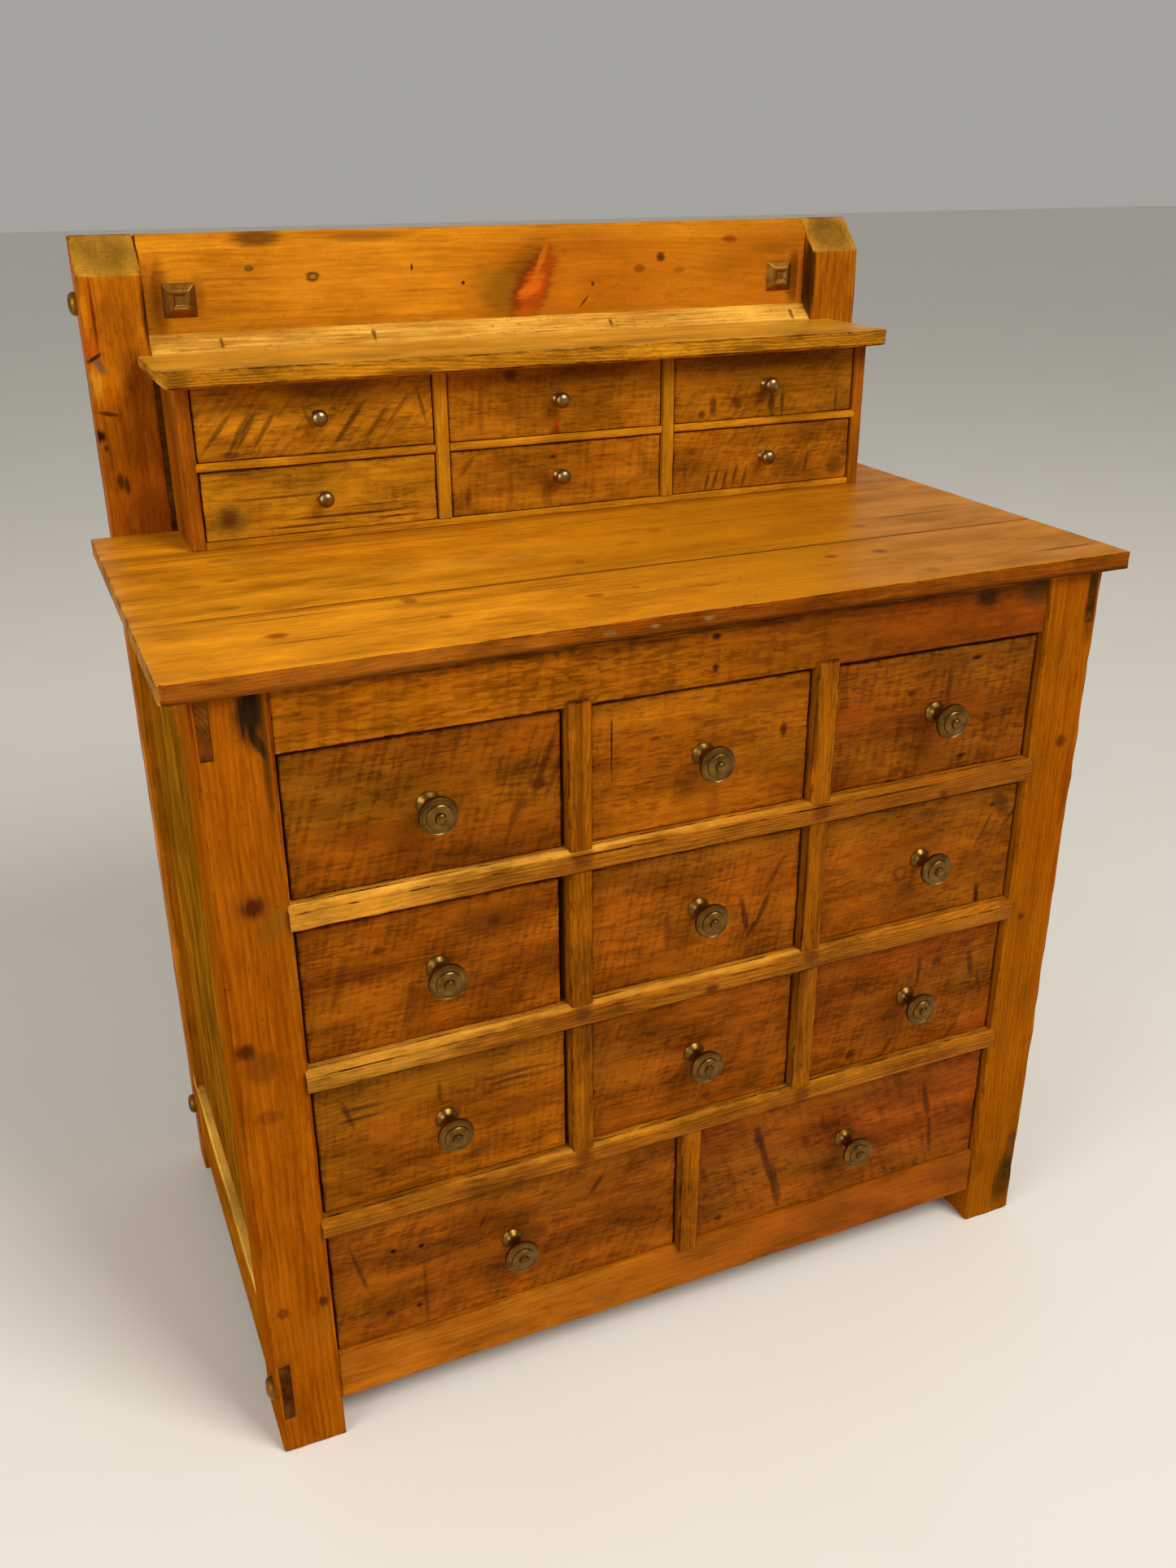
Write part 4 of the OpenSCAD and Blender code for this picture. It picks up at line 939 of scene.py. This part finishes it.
# Strokes, knots and holes of single drawers: place along and up, width, height,
# colour, strength and lean
large_marks = {
    1: [(325, 762, 9, 7, "#3a1606", 0.85), (330, 780, 5, 34, "#4a2208", 0.7, 22),
        (344, 776, 4, 30, "#4a2208", 0.7, 22), (255, 700, 90, 14, "#5c3008", 0.4),
        (300, 735, 4, 26, "#4a2208", 0.6, 22)],
    2: [(403, 782, 1.3, 36, "#2e1404", 0.9), (602, 773, 5, 9, "#3a1404", 0.85),
        (560, 777, 26, 3, "#4a2006", 0.6), (520, 795, 24, 3, "#5c2c08", 0.6),
        (452, 788, 6, 3, "#4a2006", 0.7), (520, 700, 8, 26, "#74380a", 0.5)],
    3: [(846, 819, 8, 3, "#160a04", 0.9), (838, 702, 9, 4, "#160a04", 0.9),
        (812, 790, 4, 30, "#4a2208", 0.6), (762, 788, 4, 4, "#3a1606", 0.8),
        (800, 715, 28, 24, "#6a3206", 0.5)],
    4: [(272, 618, 9, 8, "#3a1606", 0.85), (265, 620, 44, 17, "#5c2c08", 0.6),
        (152, 612, 7, 5, "#4a2006", 0.7), (110, 585, 4, 34, "#5c2c08", 0.55, 18),
        (180, 545, 4, 30, "#5c2c08", 0.5, 14)],
    5: [(566, 552, 4, 28, "#3a1606", 0.75, -12), (588, 560, 4, 26, "#3a1606", 0.75, 22),
        (600, 600, 4, 26, "#4a2208", 0.6, 30), (575, 537, 4, 18, "#3a1606", 0.7, 30),
        (470, 560, 5, 24, "#5c2c08", 0.5)],
    6: [(770, 565, 11, 12, "#5c2408", 0.85), (771, 565, 6, 7, "#8e4e0c", 0.9),
        (885, 511, 20, 4, "#2a1006", 0.85, 84), (905, 630, 26, 12, "#4a2a08", 0.7, 60),
        (893, 630, 6, 3, "#140a04", 0.85), (922, 612, 3, 22, "#3a2008", 0.7, 35),
        (885, 600, 3, 26, "#3a2008", 0.6, 25)],
    7: [(106, 428, 4, 22, "#3a1e08", 0.7, -16), (120, 432, 26, 3, "#3a1e08", 0.75),
        (118, 420, 30, 2.4, "#3a1e08", 0.7), (280, 428, 44, 2.6, "#42220a", 0.7),
        (285, 420, 30, 2.4, "#42220a", 0.65), (205, 425, 3, 16, "#42220a", 0.6)],
    8: [(396, 440, 3, 16, "#5c2c08", 0.7, 24), (412, 444, 3, 14, "#5c2c08", 0.7, 20),
        (525, 327, 9, 5, "#3a1606", 0.75), (480, 330, 90, 5, "#6a3608", 0.5)],
    9: [(722, 327, 6, 9, "#3a1606", 0.85, 30), (776, 325, 4, 13, "#4a2006", 0.7, 30),
        (812, 425, 3, 26, "#3c1e08", 0.65), (838, 430, 8, 7, "#3c1e08", 0.65),
        (890, 410, 5, 24, "#3c1e08", 0.7, -14), (905, 385, 4, 24, "#3c1e08", 0.65, -14),
        (868, 318, 4, 16, "#4a2006", 0.6, 35)],
    10: [(142, 233, 4.4, 4.4, "#0c0602", 0.95), (174, 229, 4.4, 3.4, "#0c0602", 0.95),
        (167, 147, 4, 3, "#1c0e04", 0.9), (133, 149, 8, 6, "#3a1e0a", 0.7),
        (102, 225, 3, 40, "#4a260a", 0.7, -14), (247, 240, 3, 18, "#3a1a06", 0.7, 28),
        (385, 243, 4, 18, "#3a1a06", 0.7, 34), (176, 160, 3, 50, "#4a260a", 0.55),
        (290, 225, 14, 20, "#5a2e0a", 0.5)],
    11: [(611, 205, 5, 52, "#3c1a06", 0.75, -16), (600, 240, 7, 20, "#3c1a06", 0.7, -16),
        (626, 165, 6, 36, "#3c1a06", 0.7, -10), (845, 225, 5, 36, "#3c1a06", 0.75, -12),
        (857, 165, 4, 34, "#3c1a06", 0.65, -6), (548, 135, 6, 3, "#3a1606", 0.8),
        (690, 235, 4, 14, "#4a2208", 0.6), (750, 170, 60, 5, "#5c2c08", 0.4)],
}
for i, (slot, look) in enumerate(zip(large_slots, large_looks), 1):
    pale, deep, dark, saw, trim = look
    wood = pine(f"sawn_pine_large_drawer_{i}", pale, deep, dark, ring=0.14, ring_mm=5,
                fibre=0.3, moss=0.45, dashes=0.8, knots=0.2, worn=0.3, rough=0.45, relief=0.55,
                marks=on_front(8, large_marks[i]), **saw)
    (x0, x1), z0, z1, gap = slot
    drawer(f"large_drawer_{i}", x0 + 3, x1 - 3, z0 + 0.6, z1 - gap, 8, 504.4, 18, 10, 6, 8, wood,
           trim)
small_looks = [
    ("#c57d12", "#96560c", "#422308", dict(saw=0.8, slant=0.8, saw_mm=14)),
    ("#ba710e", "#975409", "#4a2709", dict(saw=0.5, slant=0.1, saw_mm=10)),
    ("#ae690d", "#854c09", "#412208", dict(saw=0.8, slant=0.6, saw_mm=12)),
    ("#c88313", "#a4650f", "#532e0a", dict(saw=0.3, slant=0.1, saw_mm=14)),
    ("#ba6e0e", "#975409", "#4a2709", dict(saw=0.6, slant=0.1, saw_mm=10)),
    ("#b0670c", "#905108", "#4a2709", dict(saw=0.6, slant=0.5, saw_mm=12)),
]
# On the upper three small drawers, the wide dark band near the top, at height 1092, is painted
# shadow under the shelf.
small_marks = {
    1: [(112, 1048, 3, 30, "#3a2008", 0.6, 40), (136, 1044, 4, 30, "#2e1806", 0.65, 34),
        (146, 1050, 3, 32, "#2e1806", 0.6, 30), (166, 1050, 3, 32, "#2e1806", 0.6, 34),
        (262, 1050, 4, 34, "#2e1806", 0.6, 40), (292, 1046, 4, 32, "#2e1806", 0.6, 38),
        (318, 1060, 3, 24, "#3a2008", 0.5, 40), (240, 1092, 60, 14, "#4a280a", 0.7),
        (128, 1026, 14, 5, "#3a2008", 0.6), (348, 1066, 2.4, 22, "#4a280a", 0.6, -14),
        (215, 1062, 2, 16, "#4a280a", 0.5, -20)],
    2: [(458, 1092, 9, 8, "#2c1606", 0.8), (516, 1029, 5, 8, "#a83408", 0.95),
        (514, 1023, 9, 5, "#5a1e06", 0.7), (520, 1092, 130, 14, "#5a320a", 0.5),
        (420, 1050, 4, 30, "#6a3a0a", 0.45)],
    3: [(812, 1038, 6, 22, "#3a1e08", 0.8), (828, 1036, 3, 20, "#3a1e08", 0.7),
        (762, 1040, 9, 7, "#4a280a", 0.7, 30), (728, 1038, 5, 12, "#3a1e08", 0.7),
        (908, 1032, 3, 24, "#4a280a", 0.65), (800, 1092, 120, 14, "#4a280a", 0.6),
        (712, 1028, 5, 5, "#2e1806", 0.7)],
    4: [(118, 954, 22, 20, "#6a5014", 0.7), (118, 955, 13, 12, "#5c2a0a", 0.8),
        (180, 975, 60, 1.6, "#5a3008", 0.7), (260, 948, 70, 1.8, "#3a1e08", 0.85),
        (200, 940, 44, 1.6, "#3a1e08", 0.8), (310, 941, 30, 1.6, "#3a1e08", 0.8),
        (290, 957, 44, 1.4, "#4a280a", 0.7), (140, 1004, 26, 2, "#6a3c0c", 0.6)],
    5: [(514, 1001, 4, 9, "#b8480c", 0.9), (510, 993, 6, 4, "#3a1406", 0.8),
        (400, 990, 4, 16, "#5a300a", 0.6, 40), (400, 952, 5, 13, "#4a260a", 0.6),
        (500, 960, 8, 26, "#5a300a", 0.5), (455, 960, 4, 26, "#6a3a0a", 0.5)],
    6: [(722, 944, 3, 15, "#3a1e08", 0.7, 14), (734, 946, 3, 16, "#3a1e08", 0.7, 14),
        (748, 944, 3, 16, "#3a1e08", 0.7, 14), (762, 948, 3, 16, "#3a1e08", 0.7, 14),
        (776, 944, 3, 14, "#3a1e08", 0.65, 14), (872, 990, 22, 10, "#5a320a", 0.6),
        (868, 955, 3, 20, "#4a280a", 0.65, 8), (912, 950, 14, 14, "#4a2c0a", 0.6),
        (690, 960, 4, 18, "#5a320a", 0.5)],
}
for i, (slot, look) in enumerate(zip(small_slots, small_looks), 1):
    pale, deep, dark, saw = look
    wood = pine(f"sawn_pine_small_drawer_{i}", pale, deep, dark, ring=0.14, ring_mm=5,
                fibre=0.3, moss=0.25, dashes=0.6, knots=0.15, worn=0.3, rough=0.42, relief=0.45,
                marks=on_front(418, small_marks[i]), **saw)
    (x0, x1), z0, z1 = slot
    drawer(f"small_drawer_{i}", x0 + 1.5, x1 - 1.5, z0 + 0.6, z1 - 1.5, 418, 526.4, 12, 7, 4, 4,
           wood, (0, 0, 0))


# Floor: a plain pale studio floor, far larger than the piece.
bpy.ops.object.select_all(action="DESELECT")
bpy.ops.mesh.primitive_plane_add(size=60, location=(0, 0, 0))
floor = bpy.context.object
floor.name = "studio_floor"
paint = bpy.data.materials.new("matt_floor_paint")
paint.use_nodes = True
tree = paint.node_tree
place = add(tree, "TexCoord").outputs["Object"]
speck = add(tree, "TexNoise", Vector=place, Scale=3.0, Detail=3.0)
shade = add(tree, "Mix", MIXED, _0=speck, _6=linear("#eeebe4"), _7=linear("#e9e5dd"))
tree.links.new(shade.outputs[2], tree.nodes["Principled BSDF"].inputs["Base Color"])
tree.nodes["Principled BSDF"].inputs["Roughness"].default_value = 0.8
floor.data.materials.append(paint)


# Studio light: one wide lamp above the right shoulder, a low fill at the left, and
# a soft pale surround.
def lamp(name, place, aim, size, power):
    """A soft square lamp that points at one place."""
    light = bpy.data.lights.new(name, "AREA")
    light.size, light.energy, light.color = size, power, (1, 0.96, 0.9)
    obj = bpy.data.objects.new(name, light)
    bpy.context.scene.collection.objects.link(obj)
    obj.location = place
    obj.rotation_euler = (Vector(aim) - Vector(place)).to_track_quat("-Z", "Y").to_euler()


lamp("key", (1.9, -3.6, 4.8), (0, 0, 0.6), 2.4, 250)
lamp("fill", (-3.6, -1.6, 2.2), (0, 0, 0.6), 2.4, 72)
world = bpy.data.worlds.new("studio")
bpy.context.scene.world = world
world.use_nodes = True
world.node_tree.nodes["Background"].inputs[0].default_value = (0.95, 0.92, 0.86, 1)
world.node_tree.nodes["Background"].inputs[1].default_value = 0.4
bpy.context.scene.view_settings.view_transform = "Standard"


# Camera: stands to the left of the case and above it, looking down to the right.
yaw, pitch, roll = math.radians(23.362), math.radians(24.287), math.radians(0.295)
ahead = Vector((math.sin(yaw) * math.cos(pitch), math.cos(yaw) * math.cos(pitch),
                -math.sin(pitch)))
across = Vector((math.cos(yaw), -math.sin(yaw), 0))
down = ahead.cross(across)
right_way = across * math.cos(roll) + down * math.sin(roll)
down_way = down * math.cos(roll) - across * math.sin(roll)
camera_data = bpy.data.cameras.new("camera")
camera_data.sensor_width = 36
camera_data.lens = 31.99
camera = bpy.data.objects.new("camera", camera_data)
bpy.context.scene.collection.objects.link(camera)
turn = [[right_way[i], -down_way[i], -ahead[i]] for i in range(3)]
camera.location = (-0.62766, -1.42961, 1.32561)
camera.rotation_mode = "QUATERNION"
camera.rotation_quaternion = Matrix(turn).to_quaternion()
bpy.context.scene.camera = camera
